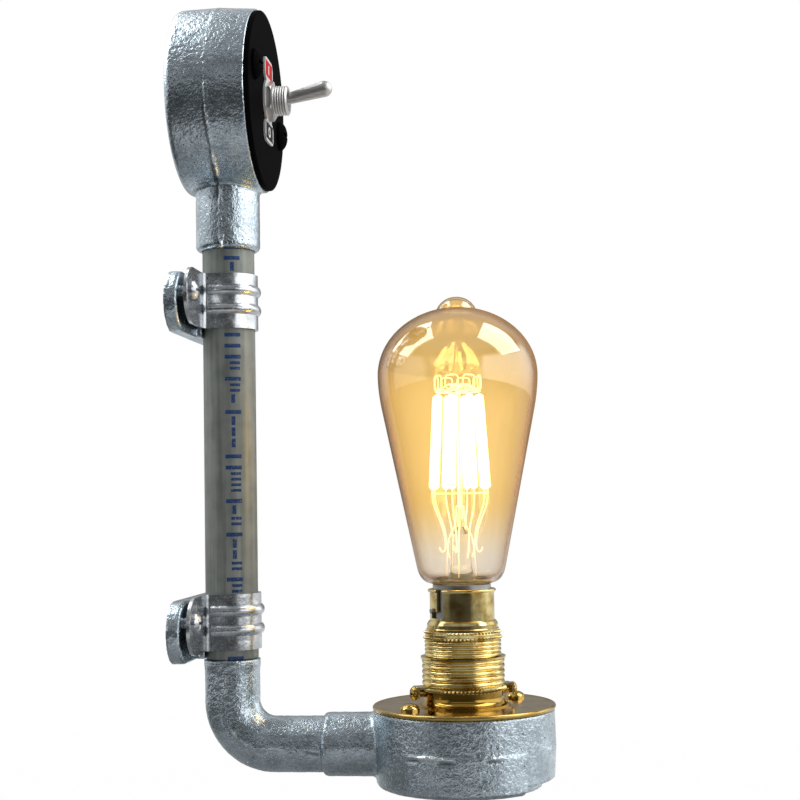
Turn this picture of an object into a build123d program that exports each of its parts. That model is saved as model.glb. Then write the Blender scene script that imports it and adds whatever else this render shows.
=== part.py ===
from build123d import *
import math
import os

# Industrial pipe wall light: a round switch box on the wall, a steel conduit down
# from it in two saddles, a cast elbow, and a second round box that carries a brass
# bayonet lampholder with a squirrel-cage bulb standing up in it.
#
# Frame: the origin is the centre of the switch box's back face, on the wall.
# +X points out of the wall, +Z points up. All sizes are in millimetres.

# ---- conduit and elbow ------------------------------------------------------
PIPE_X = 16.0  # from the wall to the conduit's axis
PIPE_R = 10.0  # 20 mm conduit
PIPE_BORE_R = 8.4
PIPE_END_Z = -214.3  # lower end, flush against the elbow
ARM_Z = -246.5  # axis of the elbow's level arm
ELBOW_BEND_R = 16.5  # bend radius of the elbow's centreline
ELBOW_R = 10.5
ELBOW_RIM_R = 10.8
ELBOW_END_X = 50.9  # where the arm meets the lamp box's spout
SPIGOT_LENGTH = 15.5
NIPPLE_R = 8.36
NIPPLE_BORE_R = 6.9
NIPPLE_TOP_Z = -206.0
NIPPLE_LENGTH = 16.0
FIT_GAP = 0.04  # radial gap of a conduit in its socket

# ---- round cast boxes -------------------------------------------------------
SCREW_CIRCLE_R = 25.4  # half of the 50.8 mm cover-screw spacing
BOSS_R = 5.6
SOCKET_DEPTH = 16.0
COVER_SCREW_R = 1.95  # M4, without its thread
COVER_HOLE_R = 2.0
COVER_HOLE_DEPTH = 15.0
CAST_EDGE_R = 2.5

SWITCH_BOX_DEPTH = 30.0
SWITCH_BOX_RADII = (35.8, 36.2, 35.2)  # at the back, the parting line and the front
SWITCH_CAVITY_R = 32.4
SWITCH_BOX_FLOOR = 3.5
SWITCH_SPOUT_R = 12.4
SWITCH_SPOUT_REACH = 58.6  # from the box's axis to the spout's end
SWITCH_BOSS_ANGLE = 72.0  # from the spout's direction

LAMP_X = 103.9  # from the wall to the lamp's axis
PLATE_Z = -231.8  # top of the brass plate
PLATE_THICKNESS = 1.5
PLATE_R = 34.2
LAMP_BOX_DEPTH = 28.0
LAMP_BOX_RADII = (33.1, 34.0, 33.7)  # at the bottom, the parting line and the top
LAMP_CAVITY_R = 30.4
LAMP_BOX_FLOOR = 3.2
LAMP_SPOUT_R = 11.9
LAMP_BOSS_ANGLE = 43.0
LAMP_BOX_Z = PLATE_Z - PLATE_THICKNESS - LAMP_BOX_DEPTH

# ---- fixing holes in the switch box's back ------------------------------------
WALL_HOLE_R = 2.5
WALL_HOLE_Y = 16.5
COUNTERSINK_R = 4.6
CABLE_HOLE_R = 5.0
CABLE_HOLE_Z = -21.5

# ---- switch lid and toggle switch -------------------------------------------
LID_THICKNESS = 2.0
LID_R = 34.5
LID_X = SWITCH_BOX_DEPTH
FRONT_X = LID_X + LID_THICKNESS
LID_SCREW_HEAD_R = 5.7
LID_SCREW_HEAD_HEIGHT = 2.9
INDICATOR_LOBE = (8.5, 15.5)  # height and width of the plate's two ends
INDICATOR_LOBE_Z = 12.2
INDICATOR_CORNER = 3.4
INDICATOR_WAIST = 9.5
INDICATOR_MIDDLE_R = 8.6
INDICATOR_THICKNESS = 0.8
NUT_THICKNESS = 2.0
NUT_CORNER_R = 8.1
BUSHING_R = 5.8  # M12 bushing
BUSHING_END_X = 40.5
THREAD_PITCH = 0.95
THREAD_DEPTH = 0.45
THREAD_TURNS = 5
FRAME_THICKNESS = 1.2
WASHER_THICKNESS = 0.8
TOGGLE_WIDTH = 13.0
TOGGLE_HEIGHT = 27.0
TOGGLE_BACK_X = 14.0
TOGGLE_WALL = 1.4
LEVER_PIVOT_X = 37.3
LEVER_TILT = 13.0  # degrees above the bushing's axis, at rest
LEVER_REACH = 20.7
LEVER_TAIL = 14.0
LEVER_TAIL_R = 1.2
LEVER_BALL_R = 3.0
LEVER_PIN_R = 0.8
ROCKER_PIVOT_X = 21.0
ROCKER_TILT = 8.0
ROCKER_ARM = 9.5
ROCKER_RISE = 14.0  # degrees that each arm rises from the valley
ROCKER_THICKNESS = 0.8
ROCKER_BEAD_R = 0.8  # bead that rocks on the middle terminal
CONTACT_Z = 8.0
TERMINAL_X = 8.5  # depth of the wire holes in the switch box
TERMINAL_SIZE = 5.0

# ---- supply terminal block ----------------------------------------------------
BLOCK_DEPTH = 10.0
BLOCK_WIDTH = 24.0
BLOCK_HEIGHT = 10.0
BLOCK_Z = 15.5
POLE_SPACING = 8.0

# ---- saddles ------------------------------------------------------------------
SADDLES = {"upper": -78.6, "lower": -200.0}
STRAP_WIDTH = 21.0
STRAP_THICKNESS = 1.2
STRAP_INNER_R = PIPE_R + 0.05
STRAP_BEND_R = 2.4
SADDLE_LENGTH = 74.0
EAR_X = 7.5
RIB_R = 2.4
RIB_HEIGHT = 1.2
RIB_RISES = (4.2, -3.0)  # height of each rib over the strap's middle
SADDLE_BASE_HEIGHT = 23.0
SADDLE_BASE_DROP = 2.2  # the base's middle lies this far under the strap's
SADDLE_BASE_THICKNESS = 5.0
SADDLE_SEAT_WIDTH = 18.0
SADDLE_SEAT_X = 7.4
SADDLE_SCREW_Y = 29.0
SADDLE_SCREW_RISE = 1.5

# ---- lampholder, as heights over the brass plate -------------------------------
COLLAR_TOP = 5.3
COLLAR_R = 14.8
COLLAR_BORE_R = 13.1
COLLAR_FLARE_R = 17.6
FLANGE_TOP = 7.3
FLANGE_R = 14.9
FLANGE_BORE_R = 10.6
FLANGE_TEETH = 60
TOOTH_HEIGHT = 0.35
LUG_ANGLE = 201.0  # direction of the near lug, from +X
LUG_REACH = 18.7
LUG_WIDTH = 7.0
LUG_THICKNESS = 0.8
LUG_DROP = 2.6
SIDE_SCREW_HEIGHT = 4.9
SKIRT_RIBS = 5
SKIRT_RIB_PITCH = 2.0
SKIRT_TOP = FLANGE_TOP + SKIRT_RIBS * SKIRT_RIB_PITCH
SKIRT_VALLEY_R = 14.9
SKIRT_CREST_R = 15.5
SKIRT_BORE_R = 13.6
SHADE_WASHER_R = 15.9
SHADE_WASHER_THICKNESS = 0.7
SLIDE_BORE_R = 12.2  # bore of the rings that pass over the barrel
RING_BOTTOM = 18.1
RING_TOP = 31.4
RING_RIBS = 4
RING_RIB_PITCH = 1.5
BARREL_R = 12.1
BARREL_BORE_R = 11.15
BARREL_BOTTOM = FLANGE_TOP
BARREL_TOP = 43.0
BARREL_LIP_R = 12.8
PIN_ANGLE = 210.0  # direction of the near bayonet pin, from +X
SLOT_ANGLE = 231.0  # direction of the near slot's mouth
PIN_HEIGHT = 35.1
PIN_R = 1.05
PIN_REACH = 13.2
PRESS_TRAVEL = 1.6
INSULATOR_BOTTOM = 8.5
INSULATOR_TOP = 21.5
INSULATOR_R = 11.1
PLUNGER_OFFSET = 4.5
PLUNGER_R = 2.3
PLUNGER_BOTTOM = 16.0
PLUNGER_TOP = 27.78
SPRING_R = 1.7
SPRING_WIRE_R = 0.3
SPRING_TURNS = 4
SPRING_BOTTOM = 10.4
HOLDER_TERMINAL_BOTTOM = 2.3
HOLDER_TERMINAL_TOP = 8.3

# ---- bulb, as heights over the brass plate --------------------------------------
CAP_R = 10.9
CAP_WALL = 0.4
CAP_BOTTOM = 29.5
CAP_TOP = 44.5
CAP_FACE = 28.3  # face of the cap's insulator
GLASS_WALL = 0.8
GLASS_NECK_R = 10.4
GLASS_NECK_BOTTOM = 38.0
GLASS_SHOULDER = 45.1
GLASS_SHOULDER_R = 12.0
GLASS_WIDE_R = 30.25
GLASS_WIDE_HEIGHT = 123.3
GLASS_DOME_RISE = 25.7
GLASS_TIP = 153.0
GLASS_TIP_R = 7.5
CONE_TOP = (28.0, 106.3)
CONE_BOTTOM = (16.75, 51.4)
STEM_TOP = 74.0
FILAMENT_COUNT = 8
FILAMENT_R = 0.9
FILAMENT_BOTTOM = 80.0
FILAMENT_TOP = 116.0
CAGE_BOTTOM_R = 10.6
CAGE_TOP_R = 8.4
LEAD_R = 0.35

# ---- wires --------------------------------------------------------------------
WIRE_R = 1.0
WIRE_HOLE_R = 1.05
LIVE_OFFSET = (-2.4, 0.0)  # place in the conduit: away from the wall, and sideways
NEUTRAL_OFFSET = (1.2, 2.2)
EARTH_OFFSET = (1.2, -2.2)
EARTH_POST = (112.0, -9.0)  # near end of the lamp box's earth terminal
EARTH_POST_SIZE = 6.0
EARTH_POST_TOP = ARM_Z + EARTH_OFFSET[0] + 3.0


# ---- helpers ----------------------------------------------------------------
def polar(radius, angle):
    """A point at a radius and an angle in degrees, as (x, y)."""
    turn = math.radians(angle)
    return radius * math.cos(turn), radius * math.sin(turn)


def upright(radius, low, high, x=0.0, y=0.0):
    """A cylinder along Z from one height to another."""
    low_end = (Align.CENTER, Align.CENTER, Align.MIN)
    return Pos(x, y, low) * Cylinder(radius, high - low, align=low_end)


def outward(radius, near, far, y=0.0, z=0.0):
    """A cylinder along X from one distance off the wall to another."""
    low_end = (Align.CENTER, Align.CENTER, Align.MIN)
    return Pos(near, y, z) * Rot(0, 90, 0) * Cylinder(radius, far - near, align=low_end)


def block(low, high):
    """A box between two corners."""
    size = [b - a for a, b in zip(low, high)]
    low_corner = (Align.MIN, Align.MIN, Align.MIN)
    return Pos(*low) * Box(*size, align=low_corner)


def turned(edges):
    """A solid of revolution about Z from a closed outline of (radius, height)."""
    return revolve(Plane.XZ * make_face(edges), axis=Axis.Z)


def turned_outline(points):
    """A solid of revolution about Z from the corners of its half section."""
    return turned(Polyline(*points, close=True))


def on_lamp_axis(shape):
    """Moves a shape made over its own origin to the lamp's axis and plate."""
    return Pos(LAMP_X, 0, PLATE_Z) * shape


def along_radius(shape, radius, angle, height):
    """Lays a shape made along Z so that it points out along a radius."""
    x, y = polar(radius, angle)
    return Pos(x, y, height) * Rot(0, 0, angle) * Rot(0, 90, 0) * shape


def opposite(shape):
    """A shape and its copy on the other side of the Z axis, as two solids."""
    return Compound([*shape.solids(), *(Rot(0, 0, 180) * shape).solids()])


def screw(shank_r, length, head_r, head_height, recess, cross=True):
    """A screw along Z with a domed head over Z = 0 and a cross or a slot in it."""
    rim = 0.35 * head_height
    outline = [
        Line((0, -length), (shank_r, -length)),
        Line((shank_r, -length), (shank_r, 0)),
        Line((shank_r, 0), (head_r, 0)),
        Line((head_r, 0), (head_r, rim)),
        ThreePointArc((head_r, rim), (0.72 * head_r, 0.82 * head_height), (0, head_height)),
        Line((0, head_height), (0, -length)),
    ]
    cut = 1.3 * head_r
    depth = 0.45 * head_height
    bar = Pos(0, 0, head_height) * Box(2.4 * head_r, recess, 2 * depth)
    if cross:
        bar = Pos(0, 0, head_height) * (Box(cut, recess, 2 * depth) + Box(recess, cut, 2 * depth))
    return turned(outline) - bar


# ---- the two cast boxes -------------------------------------------------------
def cast_box(depth, radii, cavity_r, floor, spout_r, reach, axis_height, boss_angle):
    """A round box that opens upwards, drafted both ways from its parting line, with its
    spout along +X, a socket in the spout and two tapped bosses for its cover."""
    back_r, parting_r, front_r = radii
    body = turned_outline(
        [(0, 0), (back_r, 0), (parting_r, axis_height), (front_r, depth), (0, depth)]
    )
    body = fillet(body.edges().sort_by(Axis.Z)[0], CAST_EDGE_R)
    low_end = (Align.CENTER, Align.CENTER, Align.MIN)
    spout = Rot(0, 90, 0) * Cylinder(spout_r, reach, align=low_end)
    spout = fillet(spout.edges().sort_by(Axis.X)[-1], 2.0)
    shell = body + Pos(0, 0, axis_height) * spout
    junction = shell.edges().filter_by(
        lambda edge: edge.geom_type not in (GeomType.LINE, GeomType.CIRCLE)
        and back_r - 12 < edge.center().X < front_r + 1
    )
    shell = fillet(junction, 1.4)
    cavity = upright(cavity_r, floor, depth)
    boss = upright(BOSS_R, 0, depth, SCREW_CIRCLE_R)
    boss += block((SCREW_CIRCLE_R, -BOSS_R, 0), (parting_r, BOSS_R, depth))
    for angle in (boss_angle, boss_angle + 180):
        cavity -= Rot(0, 0, angle) * boss
    shell -= cavity
    shell -= Pos(0, 0, axis_height) * outward(PIPE_R + FIT_GAP, reach - SOCKET_DEPTH, reach)
    shell -= Pos(0, 0, axis_height) * outward(PIPE_BORE_R, cavity_r - 6, reach)
    for angle in (boss_angle, boss_angle + 180):
        x, y = polar(SCREW_CIRCLE_R, angle)
        shell -= upright(COVER_HOLE_R, depth - COVER_HOLE_DEPTH, depth, x, y)
    return shell


def cover_screw_places():
    """The lid screws' two places, as (y, z)."""
    places = []
    for angle in (SWITCH_BOSS_ANGLE, SWITCH_BOSS_ANGLE + 180):
        down, side = polar(SCREW_CIRCLE_R, angle)
        places.append((side, -down))
    return places


def make_switch_box():
    shell = cast_box(
        SWITCH_BOX_DEPTH,
        SWITCH_BOX_RADII,
        SWITCH_CAVITY_R,
        SWITCH_BOX_FLOOR,
        SWITCH_SPOUT_R,
        SWITCH_SPOUT_REACH,
        PIPE_X,
        SWITCH_BOSS_ANGLE,
    )
    shell = Rot(0, 90, 0) * shell
    for side in (-1, 1):
        shell -= outward(WALL_HOLE_R, -1, SWITCH_BOX_FLOOR + 1, side * WALL_HOLE_Y)
        countersink = Cone(WALL_HOLE_R, COUNTERSINK_R, COUNTERSINK_R - WALL_HOLE_R)
        sunk_x = SWITCH_BOX_FLOOR - (COUNTERSINK_R - WALL_HOLE_R) / 2
        shell -= Pos(sunk_x, side * WALL_HOLE_Y, 0) * Rot(0, 90, 0) * countersink
    return shell - outward(CABLE_HOLE_R, -1, SWITCH_BOX_FLOOR + 1, 0, CABLE_HOLE_Z)


def make_lamp_box():
    shell = cast_box(
        LAMP_BOX_DEPTH,
        LAMP_BOX_RADII,
        LAMP_CAVITY_R,
        LAMP_BOX_FLOOR,
        LAMP_SPOUT_R,
        LAMP_X - ELBOW_END_X,
        ARM_Z - LAMP_BOX_Z,
        LAMP_BOSS_ANGLE,
    )
    shell = Rot(0, 0, 180) * shell
    # The wall under the parting line carries a thin pad on the near side, and a step
    # is cut beside it.
    bottom_r, parting_r, _ = LAMP_BOX_RADII
    pad = upright(parting_r + 0.3, 1.6, ARM_Z - LAMP_BOX_Z) - upright(bottom_r - 1, 0, 20)
    wedge = extrude(make_face(Polyline((0, 0), polar(60, -123), polar(60, -46), close=True)), 30)
    shell += pad & wedge
    step_wedge = extrude(make_face(Polyline((0, 0), polar(60, -45), polar(60, 12), close=True)), 3.3)
    step_ring = upright(parting_r + 2, 0, 3.3) - upright(bottom_r - 4.5, 0, 3.3)
    shell -= step_ring & step_wedge
    return Pos(LAMP_X, 0, LAMP_BOX_Z) * shell


# ---- lid and toggle switch ----------------------------------------------------
def make_switch_lid():
    disc = outward(LID_R, LID_X, FRONT_X)
    disc = fillet(disc.edges().sort_by(Axis.X)[-1], 0.6)
    disc -= outward(BUSHING_R + 0.3, LID_X, FRONT_X)
    for y, z in cover_screw_places():
        disc -= outward(COVER_SCREW_R + 0.25, LID_X, FRONT_X, y, z)
    return disc


def make_lid_screws():
    one = screw(COVER_SCREW_R, 14.0, LID_SCREW_HEAD_R, LID_SCREW_HEAD_HEIGHT, 1.2)
    solids = []
    for y, z in cover_screw_places():
        solids += (Pos(FRONT_X, y, z) * Rot(0, 90, 0) * one).solids()
    return Compound(solids)


def make_indicator_plate():
    """A plate with a round middle, a waist each way and two wide lobes."""
    outline = Circle(INDICATOR_MIDDLE_R) + Rectangle(2 * INDICATOR_LOBE_Z, INDICATOR_WAIST)
    lobe = RectangleRounded(*INDICATOR_LOBE, INDICATOR_CORNER)
    for z in (-INDICATOR_LOBE_Z, INDICATOR_LOBE_Z):
        outline += Pos(z, 0) * lobe
    plate = Rot(0, 90, 0) * extrude(outline, INDICATOR_THICKNESS)
    return Pos(FRONT_X, 0, 0) * plate - outward(BUSHING_R + 0.1, FRONT_X - 1, FRONT_X + 2)


def make_hex_nut():
    near = FRONT_X + INDICATOR_THICKNESS
    prism = Rot(0, 90, 0) * extrude(RegularPolygon(NUT_CORNER_R, 6), NUT_THICKNESS)
    round_blank = outward(NUT_CORNER_R, 0, NUT_THICKNESS)
    round_blank = chamfer(round_blank.edges().filter_by(GeomType.CIRCLE), 0.5)
    nut = Pos(near, 0, 0) * (prism & round_blank)
    return nut - outward(BUSHING_R + 0.05, near - 1, near + NUT_THICKNESS + 1)


def make_toggle_bushing():
    """The threaded bushing and the metal frame that closes the switch's body."""
    frame_x = LID_X - WASHER_THICKNESS - FRAME_THICKNESS
    start = BUSHING_END_X - 0.6 - THREAD_TURNS * THREAD_PITCH
    outline = [(0, frame_x), (BUSHING_R, frame_x), (BUSHING_R, start)]
    for turn in range(THREAD_TURNS):
        outline.append((BUSHING_R - THREAD_DEPTH, start + (turn + 0.5) * THREAD_PITCH))
        outline.append((BUSHING_R, start + (turn + 1) * THREAD_PITCH))
    outline += [(BUSHING_R - 0.6, BUSHING_END_X), (0, BUSHING_END_X)]
    bore = [
        (0, frame_x - 1),
        (4.3, frame_x - 1),
        (4.3, LEVER_PIVOT_X - 2.8),
        (LEVER_BALL_R + 0.25, LEVER_PIVOT_X - 1.0),
        (LEVER_BALL_R + 0.25, LEVER_PIVOT_X + 0.7),
        (4.0, BUSHING_END_X),
        (4.0, BUSHING_END_X + 1),
        (0, BUSHING_END_X + 1),
    ]
    half_y, half_z = TOGGLE_WIDTH / 2, TOGGLE_HEIGHT / 2
    plate = block((frame_x, -half_y, -half_z), (frame_x + FRAME_THICKNESS, half_y, half_z))
    bushing = plate + Rot(0, 90, 0) * turned_outline(outline)
    bushing -= Rot(0, 90, 0) * turned_outline(bore)
    pin_hole = Rot(90, 0, 0) * Cylinder(LEVER_PIN_R + 0.01, 9.4)
    return bushing - Pos(LEVER_PIVOT_X, 0, 0) * pin_hole


def make_lock_washer():
    near = LID_X - WASHER_THICKNESS
    ring = outward(9.2, near, LID_X) - outward(BUSHING_R + 0.15, near, LID_X)
    for index in range(8):
        notch = Box(WASHER_THICKNESS * 2, 1.6, 1.2)
        ring -= Rot(45 * index, 0, 0) * Pos(near + WASHER_THICKNESS / 2, 0, 6.4) * notch
    return ring


def make_toggle_body():
    half_y, half_z = TOGGLE_WIDTH / 2, TOGGLE_HEIGHT / 2
    front_x = LID_X - WASHER_THICKNESS - FRAME_THICKNESS
    inner_x = TOGGLE_BACK_X + TOGGLE_WALL + 0.2
    case = block((TOGGLE_BACK_X, -half_y, -half_z), (front_x, half_y, half_z))
    case = fillet(case.edges().filter_by(Axis.X), 1.0)
    case -= block(
        (inner_x, TOGGLE_WALL - half_y, TOGGLE_WALL - half_z),
        (front_x, half_y - TOGGLE_WALL, half_z - TOGGLE_WALL),
    )
    for z in (0, -CONTACT_Z):
        case -= block((TOGGLE_BACK_X, -2.02, z - 0.82), (inner_x, 2.02, z + 0.82))
    return case


def make_toggle_lever():
    """The bat handle, its ball and its tail, turned about one axis and tilted up."""
    outline = [
        Line((0, -LEVER_TAIL - LEVER_TAIL_R), (0, LEVER_REACH)),
        CenterArc((0, LEVER_REACH - 3.1), 3.1, 90, -90),
        Line((3.1, LEVER_REACH - 3.1), (2.1, 2.142)),
        ThreePointArc((2.1, 2.142), (LEVER_BALL_R, 0), (1.5, -2.598)),
        Line((1.5, -2.598), (LEVER_TAIL_R, -LEVER_TAIL)),
        CenterArc((0, -LEVER_TAIL), LEVER_TAIL_R, 0, -90),
    ]
    lever = turned(outline) - Rot(90, 0, 0) * Cylinder(LEVER_PIN_R + 0.05, 10)
    return Pos(LEVER_PIVOT_X, 0, 0) * Rot(0, 90 - LEVER_TILT, 0) * lever


def make_lever_pivot_pin():
    return Pos(LEVER_PIVOT_X, 0, 0) * Rot(90, 0, 0) * Cylinder(LEVER_PIN_R, 9.2)


def make_contact_rocker():
    """A V-shaped contact plate that tips about the middle terminal."""
    rise = ROCKER_ARM * math.tan(math.radians(ROCKER_RISE))
    outline = [
        (0, 0),
        (rise, ROCKER_ARM),
        (rise + ROCKER_THICKNESS, ROCKER_ARM),
        (ROCKER_THICKNESS, 0),
        (rise + ROCKER_THICKNESS, -ROCKER_ARM),
        (rise, -ROCKER_ARM),
    ]
    plate = extrude(Plane.XZ * make_face(Polyline(*outline, close=True)), 2.0, both=True)
    plate += Rot(90, 0, 0) * Cylinder(ROCKER_BEAD_R, 4.0)
    for side in (-1, 1):
        plate += outward(1.1, 0.2, 2.4, 0, side * CONTACT_Z)
    return Pos(ROCKER_PIVOT_X, 0, 0) * Rot(0, ROCKER_TILT, 0) * plate


def switch_terminal(z, top_x, hole_from, hole_to):
    """A contact strip with a wire block on its back end."""
    half = TERMINAL_SIZE / 2
    strip = block((TERMINAL_X + 1, -2, z - 0.8), (top_x, 2, z + 0.8))
    ends = block((TERMINAL_X - 2, -half, z - half), (TERMINAL_X + 2, half, z + half))
    hole = upright(WIRE_HOLE_R, hole_from, hole_to, TERMINAL_X)
    screw_hole = Pos(TERMINAL_X, -half / 2, (hole_from + hole_to) / 2) * Rot(90, 0, 0)
    return strip + ends - hole - screw_hole * Cylinder(0.95, half)


def make_switch_terminals():
    bead_x = ROCKER_PIVOT_X - ROCKER_BEAD_R
    common = switch_terminal(0, bead_x - 0.1, -1.0, TERMINAL_SIZE / 2)
    contact = switch_terminal(-CONTACT_Z, 19.75, -CONTACT_Z - TERMINAL_SIZE / 2, -CONTACT_Z + 1)
    return Compound([*common.solids(), *contact.solids()])


def make_switch_terminal_screws():
    solids = []
    for z in (0.75, -CONTACT_Z - 0.75):
        one = screw(0.9, TERMINAL_SIZE / 2 - WIRE_HOLE_R, 1.7, 1.2, 0.5, cross=False)
        placed = Pos(TERMINAL_X, -TERMINAL_SIZE / 2, z) * Rot(90, 0, 0) * one
        solids += placed.solids()
    return Compound(solids)


# ---- supply terminal block ------------------------------------------------------
def pole_places():
    return [-POLE_SPACING, 0.0, POLE_SPACING]


def block_screw_heights():
    return [BLOCK_Z + 0.27 * BLOCK_HEIGHT, BLOCK_Z + 0.73 * BLOCK_HEIGHT]


def make_terminal_block():
    front_x = SWITCH_BOX_FLOOR + BLOCK_DEPTH
    body = block(
        (SWITCH_BOX_FLOOR, -BLOCK_WIDTH / 2, BLOCK_Z),
        (front_x, BLOCK_WIDTH / 2, BLOCK_Z + BLOCK_HEIGHT),
    )
    for y in pole_places():
        body -= upright(2.05, BLOCK_Z, BLOCK_Z + BLOCK_HEIGHT, TERMINAL_X, y)
        for z in block_screw_heights():
            body -= outward(1.0, TERMINAL_X, front_x, y, z)
    for y in (-POLE_SPACING / 2, POLE_SPACING / 2):
        body -= block((front_x - 3, y - 0.6, BLOCK_Z), (front_x, y + 0.6, BLOCK_Z + BLOCK_HEIGHT))
    return body


def make_block_tubes():
    solids = []
    for y in pole_places():
        tube = upright(2.0, BLOCK_Z + 0.2, BLOCK_Z + BLOCK_HEIGHT - 0.2, TERMINAL_X, y)
        tube -= upright(WIRE_HOLE_R, BLOCK_Z, BLOCK_Z + BLOCK_HEIGHT, TERMINAL_X, y)
        for z in block_screw_heights():
            tube -= outward(0.95, TERMINAL_X, TERMINAL_X + 3, y, z)
        solids += tube.solids()
    return Compound(solids)


def make_block_screws():
    front_x = SWITCH_BOX_FLOOR + BLOCK_DEPTH
    one = screw(0.9, front_x - TERMINAL_X - WIRE_HOLE_R, 1.5, 1.0, 0.45, cross=False)
    solids = []
    for y in pole_places():
        for z in block_screw_heights():
            solids += (Pos(front_x, y, z) * Rot(0, 90, 0) * one).solids()
    return Compound(solids)


# ---- conduit, elbow and saddles -------------------------------------------------
def make_conduit():
    top = SOCKET_DEPTH - SWITCH_SPOUT_REACH
    tube = upright(PIPE_R, PIPE_END_Z, top, PIPE_X)
    return tube - upright(PIPE_BORE_R, PIPE_END_Z, top, PIPE_X)


def bend_path(end_x):
    corners = [(PIPE_X, 0, PIPE_END_Z), (PIPE_X, 0, ARM_Z), (end_x, 0, ARM_Z)]
    return FilletPolyline(*corners, radius=ELBOW_BEND_R)


def make_elbow():
    path = bend_path(ELBOW_END_X)
    start = Plane(path @ 0, z_dir=path % 0)
    outer = sweep(start * Circle(ELBOW_R), path)
    rim = Pos(PIPE_X, 0, PIPE_END_Z) * turned_outline(
        [(0, 0), (ELBOW_RIM_R, 0), (ELBOW_RIM_R, -2.4), (ELBOW_R, -4.2), (0, -4.2)]
    )
    spigot = Pos(0, 0, ARM_Z) * outward(PIPE_R, ELBOW_END_X - 1, ELBOW_END_X + SPIGOT_LENGTH)
    long_path = bend_path(ELBOW_END_X + SPIGOT_LENGTH)
    bore = sweep(start * Circle(PIPE_BORE_R), long_path)
    return outer + rim + spigot - bore


def make_elbow_nipple():
    low = NIPPLE_TOP_Z - NIPPLE_LENGTH
    tube = upright(NIPPLE_R, low, NIPPLE_TOP_Z, PIPE_X)
    return tube - upright(NIPPLE_BORE_R, low, NIPPLE_TOP_Z, PIPE_X)


def oval_slab(length, height, near, far, z):
    """A slab on the wall with round ends, long in Y."""
    outline = SlotOverall(length, height, rotation=90)
    return Pos(near, 0, z) * Rot(0, 90, 0) * extrude(outline, far - near)


def make_saddle_base(z):
    middle = z - SADDLE_BASE_DROP
    slab = oval_slab(SADDLE_LENGTH, SADDLE_BASE_HEIGHT, 0, SADDLE_BASE_THICKNESS, middle)
    slab = fillet(slab.edges().group_by(Axis.X)[-1], 1.2)
    half_y, half_z = SADDLE_SEAT_WIDTH / 2, SADDLE_BASE_HEIGHT / 2
    seat = block((1, -half_y, middle - half_z), (SADDLE_SEAT_X, half_y, middle + half_z))
    base = slab + seat - upright(PIPE_R + FIT_GAP, middle - 20, middle + 20, PIPE_X)
    base -= outward(WALL_HOLE_R, -1, 10, 0, middle)
    sunk = Cone(WALL_HOLE_R, COUNTERSINK_R, COUNTERSINK_R - WALL_HOLE_R)
    base -= Pos(5.0, 0, middle) * Rot(0, 90, 0) * sunk
    for side in (-1, 1):
        hole = outward(2.0, 0.8, 10, side * SADDLE_SCREW_Y, z + SADDLE_SCREW_RISE)
        base -= hole
    return base


def strap_side(offset):
    """The strap's line in plan at an offset from its middle: ear, leg, arch, leg, ear."""
    middle_r = STRAP_INNER_R + STRAP_THICKNESS / 2
    ear_x = EAR_X + STRAP_THICKNESS / 2
    bend = STRAP_BEND_R
    arch_r = middle_r + offset
    corner_x, corner_y = ear_x + bend, middle_r + bend
    return [
        Line((ear_x + offset, -SADDLE_LENGTH / 2), (ear_x + offset, -corner_y)),
        CenterArc((corner_x, -corner_y), bend - offset, 180, -90),
        Line((corner_x, -arch_r), (PIPE_X, -arch_r)),
        CenterArc((PIPE_X, 0), arch_r, -90, 180),
        Line((PIPE_X, arch_r), (corner_x, arch_r)),
        CenterArc((corner_x, corner_y), bend - offset, 270, -90),
        Line((ear_x + offset, corner_y), (ear_x + offset, SADDLE_LENGTH / 2)),
    ]


def strap_rib(rise):
    """A round rib pressed outwards along the strap's legs and over its arch."""
    middle_r = STRAP_INNER_R + STRAP_THICKNESS / 2
    centre_r = middle_r + STRAP_THICKNESS / 2 + RIB_HEIGHT - RIB_R
    leg_x = EAR_X + STRAP_THICKNESS / 2 + STRAP_BEND_R
    front = block((PIPE_X, -30, -30), (PIPE_X + 30, 30, 30))
    rib = Pos(PIPE_X, 0, 0) * Torus(centre_r, RIB_R) & front
    for y in (-centre_r, centre_r):
        rib += outward(RIB_R, leg_x, PIPE_X, y)
    rib -= upright(middle_r, -10, 10, PIPE_X)
    rib -= block((0, -middle_r, -10), (PIPE_X, middle_r, 10))
    return Pos(0, 0, rise) * rib


def make_saddle_strap(z):
    inner, outer = strap_side(-STRAP_THICKNESS / 2), strap_side(STRAP_THICKNESS / 2)
    ends = [Line(inner[0] @ 0, outer[0] @ 0), Line(inner[-1] @ 1, outer[-1] @ 1)]
    band = extrude(make_face([*inner, *outer, *ends]), STRAP_WIDTH / 2, both=True)
    strap = band & oval_slab(SADDLE_LENGTH, STRAP_WIDTH, 0, 40, 0)
    for rise in RIB_RISES:
        strap += strap_rib(rise)
    for y in (-SADDLE_SCREW_Y, SADDLE_SCREW_Y):
        strap -= outward(2.15, 0, 12, y, SADDLE_SCREW_RISE)
    return Pos(0, 0, z) * strap


def make_saddle_screws(z):
    one = screw(1.95, 7.5, 4.0, 2.6, 1.0)
    solids = []
    for y in (-SADDLE_SCREW_Y, SADDLE_SCREW_Y):
        place = Pos(EAR_X + STRAP_THICKNESS, y, z + SADDLE_SCREW_RISE)
        solids += (place * Rot(0, 90, 0) * one).solids()
    return Compound(solids)


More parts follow.
